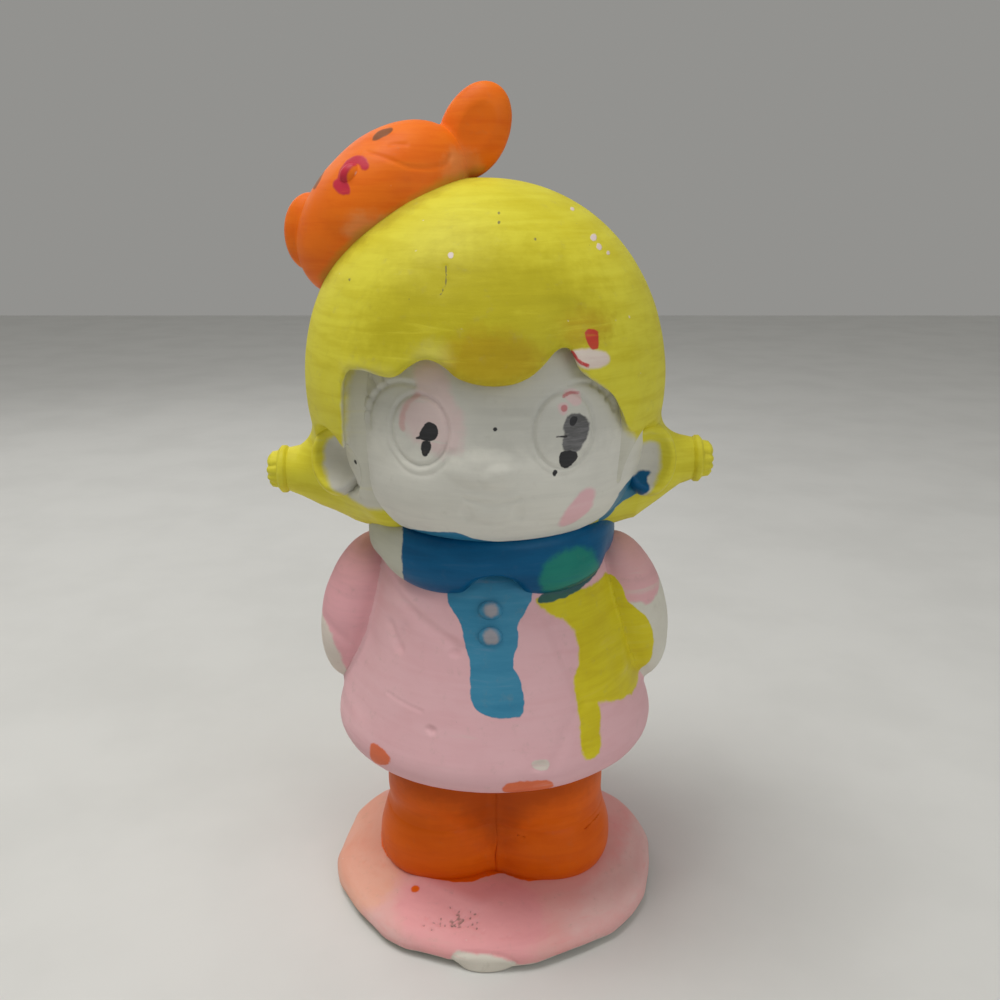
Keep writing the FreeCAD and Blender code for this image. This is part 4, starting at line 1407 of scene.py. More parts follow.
    TEMPLE = Several("temple", [
        Patch("a", [
            (-31.3, 140), (-22, 140.6), (-20, 120), (-20, 108), (-30, 107.4),
            (-37, 109.6), (-39.2, 113.6), (-38.6, 118), (-36, 121.6), (-32.2, 122.6),
            (-31.8, 128),
        ]),
        Patch("b", [
            (12, 144), (15, 145), (17.2, 140.6), (24, 135.6), (28.6, 126.4), (31.4, 124),
            (33.6, 120.4), (38, 120.6), (38.8, 116.4), (36.6, 111), (28, 107), (18, 120),
        ]),
    ])
    MOUND_BRIGHT = Patch("mound_bright", [
        (-21, -19), (-25, -30), (-20, -40), (0, -45), (11, -42), (13, -30),
        (6, -20), (-8, -22),
    ], View.PLAN)
    MOUND_SALMON = Patch("mound_salmon", [
        (-46, 26), (-46, -14), (-36, -28), (-26, -26), (-23, -14), (-30, 0),
        (-30, 26),
    ], View.PLAN)
    MOUND_PALE = Several("mound_pale", [
        Patch("a", [
            (16, -38), (30, -33), (44, -12), (44, 12), (37, 10), (34, -8),
            (22, -26),
        ], View.PLAN),
        Patch("b", [
            (-44, -20), (-36, -24), (-24, -36), (-14, -44), (-30, -44),
        ], View.PLAN),
    ])
    MOUND_BARE = Several("mound_bare", [
        Patch("a", [(-11, 4.9), (-6, 5.2), (3, 4.4), (6, 1.8), (4, -3), (-9, -3)]),
        Patch("b", [(-50, 1.2), (-12, 1.4), (10, 2), (50, 1.2), (50, -3), (-50, -3)]),
    ])
    MOUND_ORANGE = Several("mound_orange", [
        Patch("a", [
            (-31.4, 3), (-30, -8), (-25, -15.5), (-18, -20.5), (-7, -22.5), (-1.4, -19.5),
            (2, -18), (5, -20.2), (10, -21.8), (21.5, -18), (29, -8), (29.4, 2),
            (26.4, 8.6), (20, 12.8), (12, 14.2), (5, 12.4), (0, 10.4), (-5, 12.8),
            (-12, 14.6), (-20, 12.4), (-26.6, 8.8),
        ], View.PLAN, 1),
        Spots("b", [(-19.8, -23.6, 1.1)], View.PLAN),
    ])


# ---------------------------------------------------------------------------
# The sub-assemblies
# ---------------------------------------------------------------------------


@dataclass
class SubAssembly:
    """Pieces that are sculpted and painted together."""

    sculptor: Sculptor
    voxel: float = 0.5
    made: dict[str, bpy.types.Object] = field(default_factory=dict)

    def add(self, node: str, form: Form, slot: str, finish: PaintedPlaster, marks: Iterable[Mark] = (),
            paints: Iterable[PaintArea] = (), voxel: Optional[float] = None,
            kin: Iterable[str] = ()) -> bpy.types.Object:
        """Makes one piece in the place of a node of the frame.

        Args:
            node: the node that the piece stands for.
            form: the piece's form.
            slot: the record's material slot; not used.
            finish: the piece's finish.
            marks: relief on the piece.
            paints: areas of paint on it.
            voxel: the size of its quads, where it isn't the usual one.
            kin: the nodes that share one surface with it.

        Returns:
            The piece.
        """
        space = node_box(node, *kin).grown(1.5)
        name = f"painted_{node}"
        piece = self.sculptor.make(name, form, space, voxel or self.voxel, marks, paints)
        piece.data.materials.append(finish.material())
        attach(piece, BODY)
        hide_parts(node)
        self.made[node] = piece
        return piece

    def build(self) -> None:
        """Makes every piece of the sub-assembly."""
        raise NotImplementedError


@dataclass
class Mound(SubAssembly):
    """The round mound that the figure stands on."""

    voxel: float = 0.55
    crown_height: float = 9.4
    rim_height: float = 5.4
    pore_fill: float = 0.62
    PORES = Pits((-8.7, -33.4), (6.6, 3.4), 46, (0.26, 0.56), 0.6, 7, View.PLAN)

    def form(self) -> Form:
        """Shapes the cushion-like mound, with a lump of spilt plaster at its front.

        Returns:
            The form.
        """
        box = node_box("base_mound")
        radius = float(box.half[0])
        body = Turned(softened([
            (-20.0, 0.0), (radius - 3.2, 0.0), (radius - 0.6, 1.1), (radius + 0.3, 3.4),
            (radius - 1.4, self.rim_height + 0.8), (radius - 6.0, 7.4), (radius - 12.5, 9.0),
            (22.0, self.crown_height + 0.2), (-20.0, self.crown_height + 0.2),
        ], 2))
        lump = Ball((-2.0, -39.4, 0.6), (6.4, 3.3, 2.9))
        return Kept(Joined([body, lump], 1.2), [Half((0.0, 0.0, 0.0), (0.0, 0.0, -1.0))], 0.5)

    def marks(self) -> list[Mark]:
        """Lists the worn stretches of the rim, the casting pores and a brush ridge.

        Returns:
            The marks.
        """
        flats = [((-36.0, -25.0), 13.0), ((-16.0, -44.0), 10.0), ((22.0, -41.0), 13.0), ((45.0, -8.0), 13.0),
                 ((-46.0, 6.0), 12.0), ((34.0, 34.0), 14.0), ((-28.0, 38.0), 15.0), ((4.0, 46.0), 12.0)]
        marks: list[Mark] = [Swell(c, (r, r), -0.9, view=View.PLAN) for c, r in flats]
        marks.append(self.PORES)
        marks.append(Pits((-2.0, -36.0), (14.0, 5.0), 16, (0.25, 0.5), 0.4, 9, View.PLAN))
        marks.append(Pits((-33.0, -14.0), (5.0, 9.0), 14, (0.25, 0.45), 0.35, 13, View.PLAN))
        marks.append(Crease([(-18.9, -19.6), (-13.0, -24.0), (-4.0, -29.0)], 2.4, 0.5, View.PLAN))
        lump_edge = [(-9.0, -1.0), (-10.5, 2.4), (-9.0, 4.6), (-3.0, 5.2), (3.4, 4.6), (5.4, 2.0)]
        marks.append(Crease(lump_edge, 0.5, -0.3))
        return marks

    def build(self) -> None:
        """See SubAssembly.build."""
        bright = replace_colour(Colours.BASE_PINK, (0.86, 0.38, 0.40))
        finish = PaintedPlaster("pink_mound_paint", [
            Coatwork(Colours.BASE_PINK, thin=0.7),
            Coatwork(Colours.SALMON, "mound_salmon", 3.0, 2.6, 0.85, 0.35),
            Coatwork(bright, "mound_bright", 2.6, 2.4, 0.8, 0.3),
            Coatwork(Colours.CHALK, "mound_pale", 3.0, 3.2, 0.35, 0.8),
            Coatwork(Colours.PLASTER, "mound_bare", 0.8, 0.5, 0.95, 0.25),
            # Dark brown painted inside the casting pores.
            Coatwork(Colours.DARK_BROWN, "mound_pores", 0.1, 0.15, 0.8, 0.2),
            Coatwork(Colours.LEG_ORANGE, "mound_orange", 0.5, 0.25, 1.0, 0.05),
        ], Weathering(0.5, 0.6, 0.3))
        darkened_pores = [(u, v, self.pore_fill * radius) for u, v, radius in self.PORES.spots()]
        pores = Spots("mound_pores", darkened_pores, View.PLAN)
        paints = [Areas.MOUND_SALMON, Areas.MOUND_BRIGHT, Areas.MOUND_PALE, Areas.MOUND_BARE,
                  Areas.MOUND_ORANGE, pores]
        self.add("base_mound", self.form(), "pink_base_paint", finish, self.marks(), paints)


@dataclass
class Legs(SubAssembly):
    """Two fat trouser legs, each in a rounded shoe; a tucked piece runs on under its neighbour."""

    voxel: float = 0.5
    ease: float = 5.0
    valley: float = 4.0
    ankle: float = 25.0
    overlap: float = 4.0
    tuck: float = 0.16
    lap: float = 1.0
    lip: float = 3.0
    TOE_LINES = {
        "left": [(-2.0, 17.0), (4.0, 21.0), (12.4, 24.6), (21.0, 23.4), (27.0, 21.0)],
        "right": [(2.0, 14.0), (-3.0, 18.6), (-7.4, 24.0), (-15.0, 28.0), (-27.0, 24.7)],
    }

    def limb(self, side: str, sign: float) -> Form:
        """Shapes one leg and its shoe as one flowing body.

        Args:
            side: the side's name.
            sign: 1 for +X and -1 for -X.

        Returns:
            The form.
        """
        shoe = node_box(f"{side}_shoe")
        leg = node_box(f"{side}_leg")
        toe = Ball((sign * 12.6, -4.6, 14.0), (float(shoe.half[0]) + 2.5, 17.2, 11.8), power=2.2)
        low, high = float(leg.low[2]), float(leg.high[2])
        half = float(leg.half[0]) + 2.8
        calf = Turned(softened([
            (-8.0, low - 10.0), (half - 2.0, low - 10.0), (half - 0.4, low + 2.0), (half + 0.1, low + 12.0),
            (half - 0.8, high - 6.0), (half - 1.2, high), (-8.0, high),
        ], 2), (sign * 11.4, -2.8), 1.06)
        return Joined([toe, calf], self.ease)

    def body(self) -> Form:
        """Joins both legs at the middle and cuts them flat inside the mound.

        Returns:
            The form.
        """
        floor = float(node_box("left_shoe").low[2]) + 3.2
        limbs = Joined([self.limb(side, sign) for side, sign in SIDES], self.valley)
        return Kept(limbs, [Half((0.0, 0.0, floor), (0.0, 0.0, -1.0))], 0.6)

    def build(self) -> None:
        """See SubAssembly.build."""
        body = self.body()
        shaded = replace_colour(Colours.LEG_ORANGE, (0.46, 0.07, 0.0002))
        for side, sign in SIDES:
            marks = [
                Crease(self.TOE_LINES[side], 2.0, -0.5),
                Crease([(sign * 3.0, 40.0), (sign * 12.0, 36.0), (sign * 22.0, 37.0)], 3.4, -0.3),
            ]
            finish = PaintedPlaster(f"{side}_orange_paint", [
                Coatwork(Colours.LEG_ORANGE, thin=0.05),
                # Darker orange painted on as the shadow under the hem and the shade between the legs.
                Coatwork(shaded, "leg_painted_shadow", 2.0, 4.0, 0.75, 0.2),
            ], Weathering(0.12, 0.2, 0.1))
            tuck, reach = (0.0, 0.0) if side == "left" else (self.tuck, self.lap)
            middle = Half((-sign * reach, 0.0, 0.0), (-sign, 0.0, 0.0))
            top = Half((0.0, 0.0, self.ankle), (0.0, 0.0, 1.0))
            foot = Half((0.0, 0.0, self.ankle - self.overlap), (0.0, 0.0, -1.0))
            shoe = Kept(Grown(body, -tuck), [middle], 0.8)
            leg = Kept(Grown(body, -tuck - self.tuck), [middle], 0.8)
            pieces = {"shoe": Kept(shoe, [top], self.lip), "leg": Kept(leg, [foot], 0.2)}
            for part, form in pieces.items():
                self.add(f"{side}_{part}", form, "orange_paint", finish, marks, [Areas.LEG_SHADOW],
                         kin=[f"{side}_shoe", f"{side}_leg"])


@dataclass
class Coat(SubAssembly):
    """The flared smock, its two buttons, the sleeves and the hands behind the back."""

    voxel: float = 0.5
    ease: float = 1.6
    hem_lip: float = 4.0
    hem_recess: float = 3.0

    def members(self) -> dict[str, Form]:
        """Shapes the coat, the sleeves and the hands, before they are grown together.

        Returns:
            Each node's form.
        """
        coat = node_box("coat")
        low, high, half = float(coat.low[2]), float(coat.high[2]), float(coat.half[0])
        flare = Turned(softened([
            (-10.0, low), (half - 4.6, low), (half - 0.9, low + 1.6), (half + 0.5, low + 6.0),
            (half - 1.6, low + 12.5), (half - 6.2, low + 26.0), (half - 10.4, low + 39.0),
            (half - 13.2, low + 47.6), (half - 18.2, high - 1.6), (half - 22.0, high), (-10.0, high),
        ], 2))
        recess = Turned([(-10.0, low - 5.0), (half - self.hem_lip - 3.0, low - 5.0),
                         (half - self.hem_lip - 3.6, low + self.hem_recess), (-10.0, low + self.hem_recess)])
        forms: dict[str, Form] = {"coat": Carved(flare, [recess], 1.0)}
        for side, sign in SIDES:
            hand = node_box(f"{side}_hand")
            upper = Ball((sign * 33.4, 1.6, 75.2), (10.2, 12.6, 20.0), lean=sign * -15.0)
            fore = Ball((sign * 26.5, 25.0, 62.6), (18.6, 8.2, 8.0), turn=sign * -43.0)
            forms[f"{side}_sleeve"] = Joined([upper, fore], 6.0)
            centre = tuple(float(c) for c in hand.centre)
            forms[f"{side}_hand"] = Ball(centre, tuple(float(h) - 0.2 for h in hand.half))
        return forms

    def marks(self) -> list[Mark]:
        """Lists the pleats, folds and dents of the smock.

        Returns:
            The marks.
        """
        return [
            Crease([(-25.5, 87.6), (-19.0, 83.4), (-12.0, 80.2), (-7.4, 77.4)], 1.5, -0.75),
            Crease([(-22.0, 86.8), (-14.0, 81.9), (-8.0, 78.9)], 1.5, 0.35),
            Crease([(-24.4, 78.6), (-22.0, 74.6)], 1.0, -0.5),
            Crease([(-20.5, 79.4), (-22.0, 74.6)], 1.0, -0.4),
            Crease([(-27.5, 90.0), (-31.0, 80.0), (-34.6, 68.0), (-37.2, 57.0)], 1.6, 0.7),
            Crease([(11.1, 87.9), (15.2, 76.0), (20.9, 63.6)], 1.5, -0.6),
            Crease([(9.6, 84.0), (13.6, 73.6), (18.0, 64.0)], 1.8, 0.3),
            Crease([(28.6, 85.0), (30.4, 76.0), (31.1, 66.6)], 1.6, 0.8),
            Crease([(17.0, 59.6), (13.4, 51.6)], 1.6, -0.25),
            Crease([(-29.0, 72.0), (-32.4, 58.0)], 2.6, -0.5),
            Swell((-8.9, 76.3), (1.6, 1.2), -0.5),
            Swell((-14.2, 59.4), (1.5, 1.1), -0.5),
            Crease([(-24.6, 64.2), (-20.0, 63.4), (-16.4, 62.8)], 0.35, -0.2),
            Swell((10.4, 52.4), (2.6, 1.4), -0.45),
            Crease([(-10.0, 86.0), (-5.0, 90.0), (0.0, 91.6), (5.0, 90.0), (9.4, 86.0)], 1.4, 0.3),
            Crease([(6.0, 86.0), (14.0, 74.0), (20.0, 60.0)], 3.0, -0.6, View.BACK),
            Crease([(-8.0, 87.0), (-15.0, 74.0), (-22.0, 60.0)], 3.0, -0.6, View.BACK),
            Crease([(0.0, 84.0), (1.0, 74.0)], 3.0, 0.5, View.BACK),
        ]

    def build(self) -> None:
        """See SubAssembly.build."""
        family = Family(self.members(), self.ease)
        coat_paint = PaintedPlaster("pink_smock_paint", [
            Coatwork(Colours.PINK, thin=0.35),
            Coatwork(Colours.PLASTER, "hem_chip", 0.6, 0.2, 0.8, 0.4),
            Coatwork(Colours.LEG_ORANGE, "hem_orange", 0.7, 0.25, 0.85, 0.25),
            Coatwork(Colours.PATCH_YELLOW, "yellow_patch", 0.8, 0.4, 1.0, 0.05),
            Coatwork(Colours.STRIP_BLUE, "strip", 0.5, 0.16, 1.0, 0.08),
            Coatwork(Colours.DARK_GREEN, "green_edge", 0.5, 0.2, 0.95, 0.1),
        ], Weathering(0.25, 0.2, 0.28))
        paints = [Areas.HEM_CHIP, Areas.HEM_ORANGE, Areas.YELLOW_PATCH, Areas.STRIP, Areas.GREEN_EDGE]
        self.add("coat", family.share("coat"), "pink_coat_paint", coat_paint, self.marks(), paints,
                 kin=family.members)
        self.sleeves(family)
        self.hands(family)
        self.buttons()

    def sleeves(self, family: Family) -> None:
        """Makes both sleeves, each with its own paint.

        Args:
            family: the forms that share the smock's surface.
        """
        left = PaintedPlaster("left_sleeve_paint", [
            Coatwork(replace_colour(Colours.PINK, (0.80, 0.44, 0.47)), "sleeve_pink", 0.8, 0.5, 0.95, 0.4),
            Coatwork(Colours.PINK, "sleeve_back", 2.0, 1.5, 0.9, 0.5),
            Coatwork(Colours.PATCH_YELLOW, "yellow_patch", 0.45, 0.16, 1.0, 0.05),
        ], Weathering(0.2, 0.3, 0.3))
        right = PaintedPlaster("right_sleeve_paint", [
            Coatwork(replace_colour(Colours.PINK, (0.82, 0.42, 0.46)), thin=0.3),
            Coatwork(Colours.PLASTER, "sleeve_bare", 1.2, 0.6, 0.85, 0.3),
        ], Weathering(0.2, 0.3, 0.3))
        marks = [Crease([(34.0, 66.0), (40.0, 68.0)], 1.4, -0.3),
                 Crease([(-36.0, 70.0), (-42.0, 74.0)], 1.4, -0.3)]
        self.add("left_sleeve", family.share("left_sleeve"), "pink_coat_paint", left, marks,
                 [Areas.LEFT_SLEEVE_PINK, Areas.SLEEVE_BACK, Areas.YELLOW_PATCH], kin=family.members)
        self.add("right_sleeve", family.share("right_sleeve"), "pink_coat_paint", right, marks,
                 [Areas.RIGHT_SLEEVE_BARE], kin=family.members)

    def hands(self, family: Family) -> None:
        """Makes the two small fists, with grooves between the fingers.

        Args:
            family: the forms that share the smock's surface.
        """
        finish = PaintedPlaster("bare_hand_plaster", [
            Coatwork(Colours.SKIN_PINK, thin=1.0, cover=0.25),
        ], Weathering(0.1, 0.3, 0.35))
        for side, sign in SIDES:
            grooves = [Crease([(sign * 3.0, z), (sign * 10.5, z + 0.4)], 0.55, -0.45, View.BACK)
                       for z in (59.6, 62.4, 65.2)]
            self.add(f"{side}_hand", family.share(f"{side}_hand"), "bare_plaster", finish, grooves, voxel=0.4)

    def buttons(self) -> None:
        """Makes the two rubbed buttons in the strip."""
        box = node_box("coat_buttons")
        half = float(box.half[0])
        x = float(box.centre[0])
        forms = []
        for z, front in ((float(box.high[2]) - half, -29.3), (float(box.low[2]) + half, -31.2)):
            forms.append(Ball((x, front + 0.9, z), (half * 1.06, 1.5, half * 0.9)))
        rubbed = Spots("button_rub", [(x + 0.2, float(box.high[2]) - half + 0.4, 1.6),
                                      (x + 0.3, float(box.low[2]) + half + 0.3, 1.8)])
        finish = PaintedPlaster("rubbed_button_paint", [
            Coatwork(Colours.STRIP_BLUE, thin=0.2),
            Coatwork(replace_colour(Colours.CHALK, (0.42, 0.37, 0.38)), "button_rub", 1.0, 0.6, 0.85, 0.6),
        ], Weathering(0.4, 0.4, 0.4))
        self.add("coat_buttons", Joined(forms), "button_paint", finish, (), [rubbed], voxel=0.28)


@dataclass
class Scarf(SubAssembly):
    """The broad scarf between the chin and the smock, and the peg inside it."""

    voxel: float = 0.45

    def form(self) -> Form:
        """Shapes the upright band, with a full lobe at each side of its front.

        Returns:
            The form.
        """
        box = node_box("scarf")
        low, high = float(box.low[2]), float(box.high[2])
        wall = Turned(softened([
            (16.0, low + 3.4), (26.6, low + 3.2), (29.8, low + 5.4), (30.4, low + 9.4), (29.6, high - 0.8),
            (26.0, high + 0.3), (16.0, high + 0.3),
        ], 2), (-0.6, -0.6), 0.98)
        parts: list[Form] = [wall]
        for sign in (1.0, -1.0):
            parts.append(Ball((0.4 + sign * 13.6, -19.6, 92.2), (11.0, 5.6, 4.9),
                              lean=sign * -6.0, turn=sign * 28.0))
        return Joined(parts, 5.0)

    def build(self) -> None:
        """See SubAssembly.build."""
        finish = PaintedPlaster("blue_scarf_paint", [
            Coatwork(replace_colour(Colours.PLASTER, (0.56, 0.56, 0.47)), thin=0.3),
            Coatwork(Colours.PINK, "scarf_pink", 1.2, 0.8, 0.9, 0.4),
            Coatwork(Colours.BLUE, "scarf_blue", 0.7, 0.25, 1.0, 0.02),
            Coatwork(Colours.STRIP_BLUE, "scarf_light", 0.8, 0.5, 0.9, 0.2),
            Coatwork(Colours.GREEN, "green", 1.3, 1.0, 0.85, 0.3),
            Coatwork(Colours.DARK_GREEN, "green_edge", 0.5, 0.25, 0.9, 0.2),
            Coatwork(Colours.BLUE, "jaw_blue", 0.4, 0.3, 1.0, 0.0),
        ], Weathering(0.05, 0.1, 0.05))
        marks = [Swell((0.2, 89.6), (7.6, 5.4), -1.8)]
        self.add("scarf", self.form(), "blue_paint", finish, marks,
                 [Areas.SCARF_PINK, Areas.SCARF_BLUE, Areas.SCARF_LIGHT, Areas.GREEN, Areas.GREEN_EDGE,
                  Areas.JAW_BLUE])
        peg = node_box("neck_peg")
        radius = float(peg.half[0])
        pin = Turned(softened([(-4.0, float(peg.low[2])), (radius, float(peg.low[2])),
                               (radius, float(peg.high[2])), (-4.0, float(peg.high[2]))], 1))
        plain = PaintedPlaster("neck_peg_plaster", [Coatwork(Colours.PLASTER, thin=0.2)])
        self.add("neck_peg", pin, "bare_plaster", plain)


class Fringe:
    """The outline of the open face: scalloped hair above, side locks, and the jaw below."""

    OPENING = [
        (-31.6, 90.0), (-31.8, 125.6), (-31.4, 139.8), (-27.0, 140.4), (-22.5, 139.3), (-19.5, 139.4),
        (-16.5, 142.2), (-13.4, 143.6), (-9.8, 142.4), (-7.6, 140.0), (-3.6, 138.6), (2.2, 138.2),
        (7.0, 139.6), (10.3, 142.3), (12.6, 144.9), (15.0, 145.4), (16.4, 143.2), (17.4, 140.8),
        (20.2, 138.6), (24.0, 135.8), (26.4, 131.2), (28.8, 126.4), (31.0, 124.6), (33.4, 120.0),
        (33.0, 90.0),
    ]


@dataclass
class Head(SubAssembly):
    """The round face with its raised eyes, small nose and mouth, and the two ears."""

    voxel: float = 0.42
    front_ratio: float = 1.022
    eye_height: float = 128.6

    def skull(self, spread: float = 1.0, depth: float = 1.0) -> Form:
        """The turned body of the head, with a broad low jaw.

        Args:
            spread: how many times wider than the head it is.
            depth: how many times deeper than the head it is.

        Returns:
            The form.
        """
        box = node_box("head")
        half = float(box.half[0])
        low = float(box.low[2])
        profile = [
            (-10.0, 0.0), (14.0, 0.0), (half - 14.6, 0.7), (half - 7.0, 4.6), (half - 2.2, 11.5),
            (half - 0.3, 20.0), (half, 32.0), (half - 1.8, 44.0), (half - 8.0, 55.0), (half - 22.0, 63.0),
            (-10.0, 63.0),
        ]
        outline = softened([(spread * radius, low + height) for radius, height in profile], 2)
        return Turned(outline, (0.0, float(box.centre[1])), self.front_ratio * depth / spread)

    def form(self) -> Form:
        """The head without the part that the hair hides."""
        hidden = Half((0.0, 16.0, 150.0), (0.0, -0.86, -0.5))
        return Carved(self.skull(), [hidden], 0.5)

    def eye(self, sign: float, x: float) -> list[Mark]:
        """The relief of one eye: the iris, the rims around it and the lashes.

        Args:
            sign: 1 for the eye at +X and -1 for the other.
            x: the place of the iris's middle.

        Returns:
            The marks.
        """
        z = self.eye_height
        outer = x + sign * 3.2
        lid, brow = ((15, 105), (25, 100)) if sign > 0 else ((75, 190), (80, 180))
        return [
            Swell((x, z), (7.4, 8.8), 0.35, 6.0),
            Crease(oval((x, z), (6.3 + 0.2 * sign, 7.7 + 0.3 * sign)), 0.42, -0.58),
            Crease(oval((x, z), (7.2, 8.6), 200, 340), 0.5, 0.2),
            Crease(oval((outer, z + 0.4), (8.2, 9.0), *lid), 0.45, -0.46),
            Crease(oval((outer, z + 0.4), (9.1, 10.0), *brow), 0.6, 0.2),
            Crease(oval((x, z + 0.2), (7.9, 9.6), 215, 320), 0.4, -0.18),
        ]

    def marks(self) -> list[Mark]:
        """Lists everything low in relief on the face.

        Returns:
            The marks.
        """
        marks = self.eye(-1.0, -15.3) + self.eye(1.0, 14.6)
        lashes = [
            ((-24.4, 135.6), (-26.0, 137.9)), ((-25.8, 133.4), (-27.9, 134.9)),
            ((-22.6, 137.0), (-23.6, 139.2)), ((-26.6, 130.8), (-28.4, 131.6)),
            ((20.6, 137.2), (21.6, 139.6)), ((22.4, 135.8), (24.2, 138.0)),
            ((23.8, 133.8), (25.4, 135.4)),
        ]
        marks += [Crease(list(lash), 0.34, -0.5) for lash in lashes]
        marks += [
            Swell((-2.4, 121.4), (8.4, 4.6), 1.0),
            Swell((1.0, 119.6), (4.2, 3.2), 0.65),
            Swell((-2.0, 113.0), (27.0, 12.0), 0.9, 2.6),
            Crease([(-8.8, 126.2), (-3.0, 123.4), (2.6, 121.4)], 1.6, 0.25),
            Crease([(-5.9, 115.0), (-3.0, 114.2), (0.4, 113.7), (3.4, 114.1), (5.4, 114.9)], 0.4, -0.32),
            Crease([(-5.4, 116.0), (0.2, 114.8), (5.2, 115.9)], 0.7, 0.16),
            Swell((-0.2, 111.0), (4.6, 2.6), 0.5),
            Swell((-5.6, 111.4), (1.8, 2.4), -0.3),
            Swell((5.0, 111.4), (1.8, 2.4), -0.3),
            Swell((-19.0, 114.0), (10.0, 9.0), 0.5),
            Swell((18.0, 114.0), (10.0, 9.0), 0.5),
        ]
        return marks

    def ear(self, sign: float) -> Form:
        """Shapes a low flat ear with a bowl in it.

        Args:
            sign: 1 for +X and -1 for -X.

        Returns:
            The form.
        """
        box = node_box("left_ear")
        x = sign * float(box.centre[0])
        y, z = float(box.centre[1]), float(box.centre[2])
        disc = Ball((x - sign * 1.6, y - 1.6, z), (6.6, 8.6, 9.0))
        bowl = Ball((x - sign * 0.6, y - 11.0, z + 1.6), (6.4, 8.4, 7.6))
        return Carved(disc, [bowl], 2.0)

    def build(self) -> None:
        """See SubAssembly.build."""
        finish = PaintedPlaster("face_plaster", [
            Coatwork(replace_colour(Colours.PLASTER, (0.735, 0.725, 0.655)), thin=0.1),
            Coatwork(replace_colour(Colours.PLASTER, (0.52, 0.52, 0.47)), "brow_shade", 4.0, 5.0, 0.6, 0.2),
            Coatwork(Colours.SKIN_PINK, "eye_smear", 1.6, 1.4, 0.42, 0.7),
            Coatwork(Colours.ROSE, "eye_arc", 0.4, 0.35, 0.6, 0.4),
            Coatwork(Colours.SKIN_PINK, "cheek", 0.6, 0.6, 0.95, 0.15),
            Coatwork(Colours.SKIN_PINK, "eye_rose", 0.5, 0.35, 0.55, 0.4),
            Coatwork(replace_colour(Colours.RED, (0.55, 0.16, 0.17)), "eye_red", 0.25, 0.15, 0.8, 0.3),
            Coatwork(Colours.GREY_BLACK, "blot_grey", 0.7, 0.25, 0.92, 0.45),
            Coatwork(Colours.BLACK, "blot_black", 0.4, 0.1, 1.0, 0.1),
            Coatwork(Colours.BLACK, "blot", 0.45, 0.1, 1.0, 0.0),
            Coatwork(replace_colour(Colours.STRIP_BLUE, (0.03, 0.20, 0.36)), "chin_blue", 0.4, 0.2, 1.0,
                     0.15),
            Coatwork(replace_colour(Colours.BLUE, (0.02, 0.17, 0.30)), "jaw_blue", 0.4, 0.2, 1.0, 0.0),
        ], Weathering(0.0, 0.12, 0.14))
        paints = [Areas.BROW_SHADE, Areas.EYE_SMEAR, Areas.EYE_ARC, Areas.CHEEK, Areas.EYE_ROSE,
                  Areas.EYE_RED, Areas.BLOT_GREY, Areas.BLOT_BLACK, Areas.BLOT, Areas.CHIN_BLUE,
                  Areas.JAW_BLUE]
        self.add("head", self.form(), "face_plaster", finish, self.marks(), paints)
        shaded = replace_colour(Colours.PLASTER, (0.62, 0.61, 0.56))
        for side, sign in SIDES:
            ear = PaintedPlaster(f"{side}_ear_plaster", [
                Coatwork(shaded, thin=0.3),
                Coatwork(Colours.YELLOW, "ear_rim", 0.7, 0.7, 1.0, 0.15),
                Coatwork(Colours.BLUE, "jaw_blue", 0.4, 0.3, 1.0, 0.05),
            ], Weathering(0.1, 0.3, 0.3))
            self.add(f"{side}_ear", self.ear(sign), "bare_plaster", ear, (), [Areas.EAR_RIM, Areas.JAW_BLUE],
                     voxel=0.4)


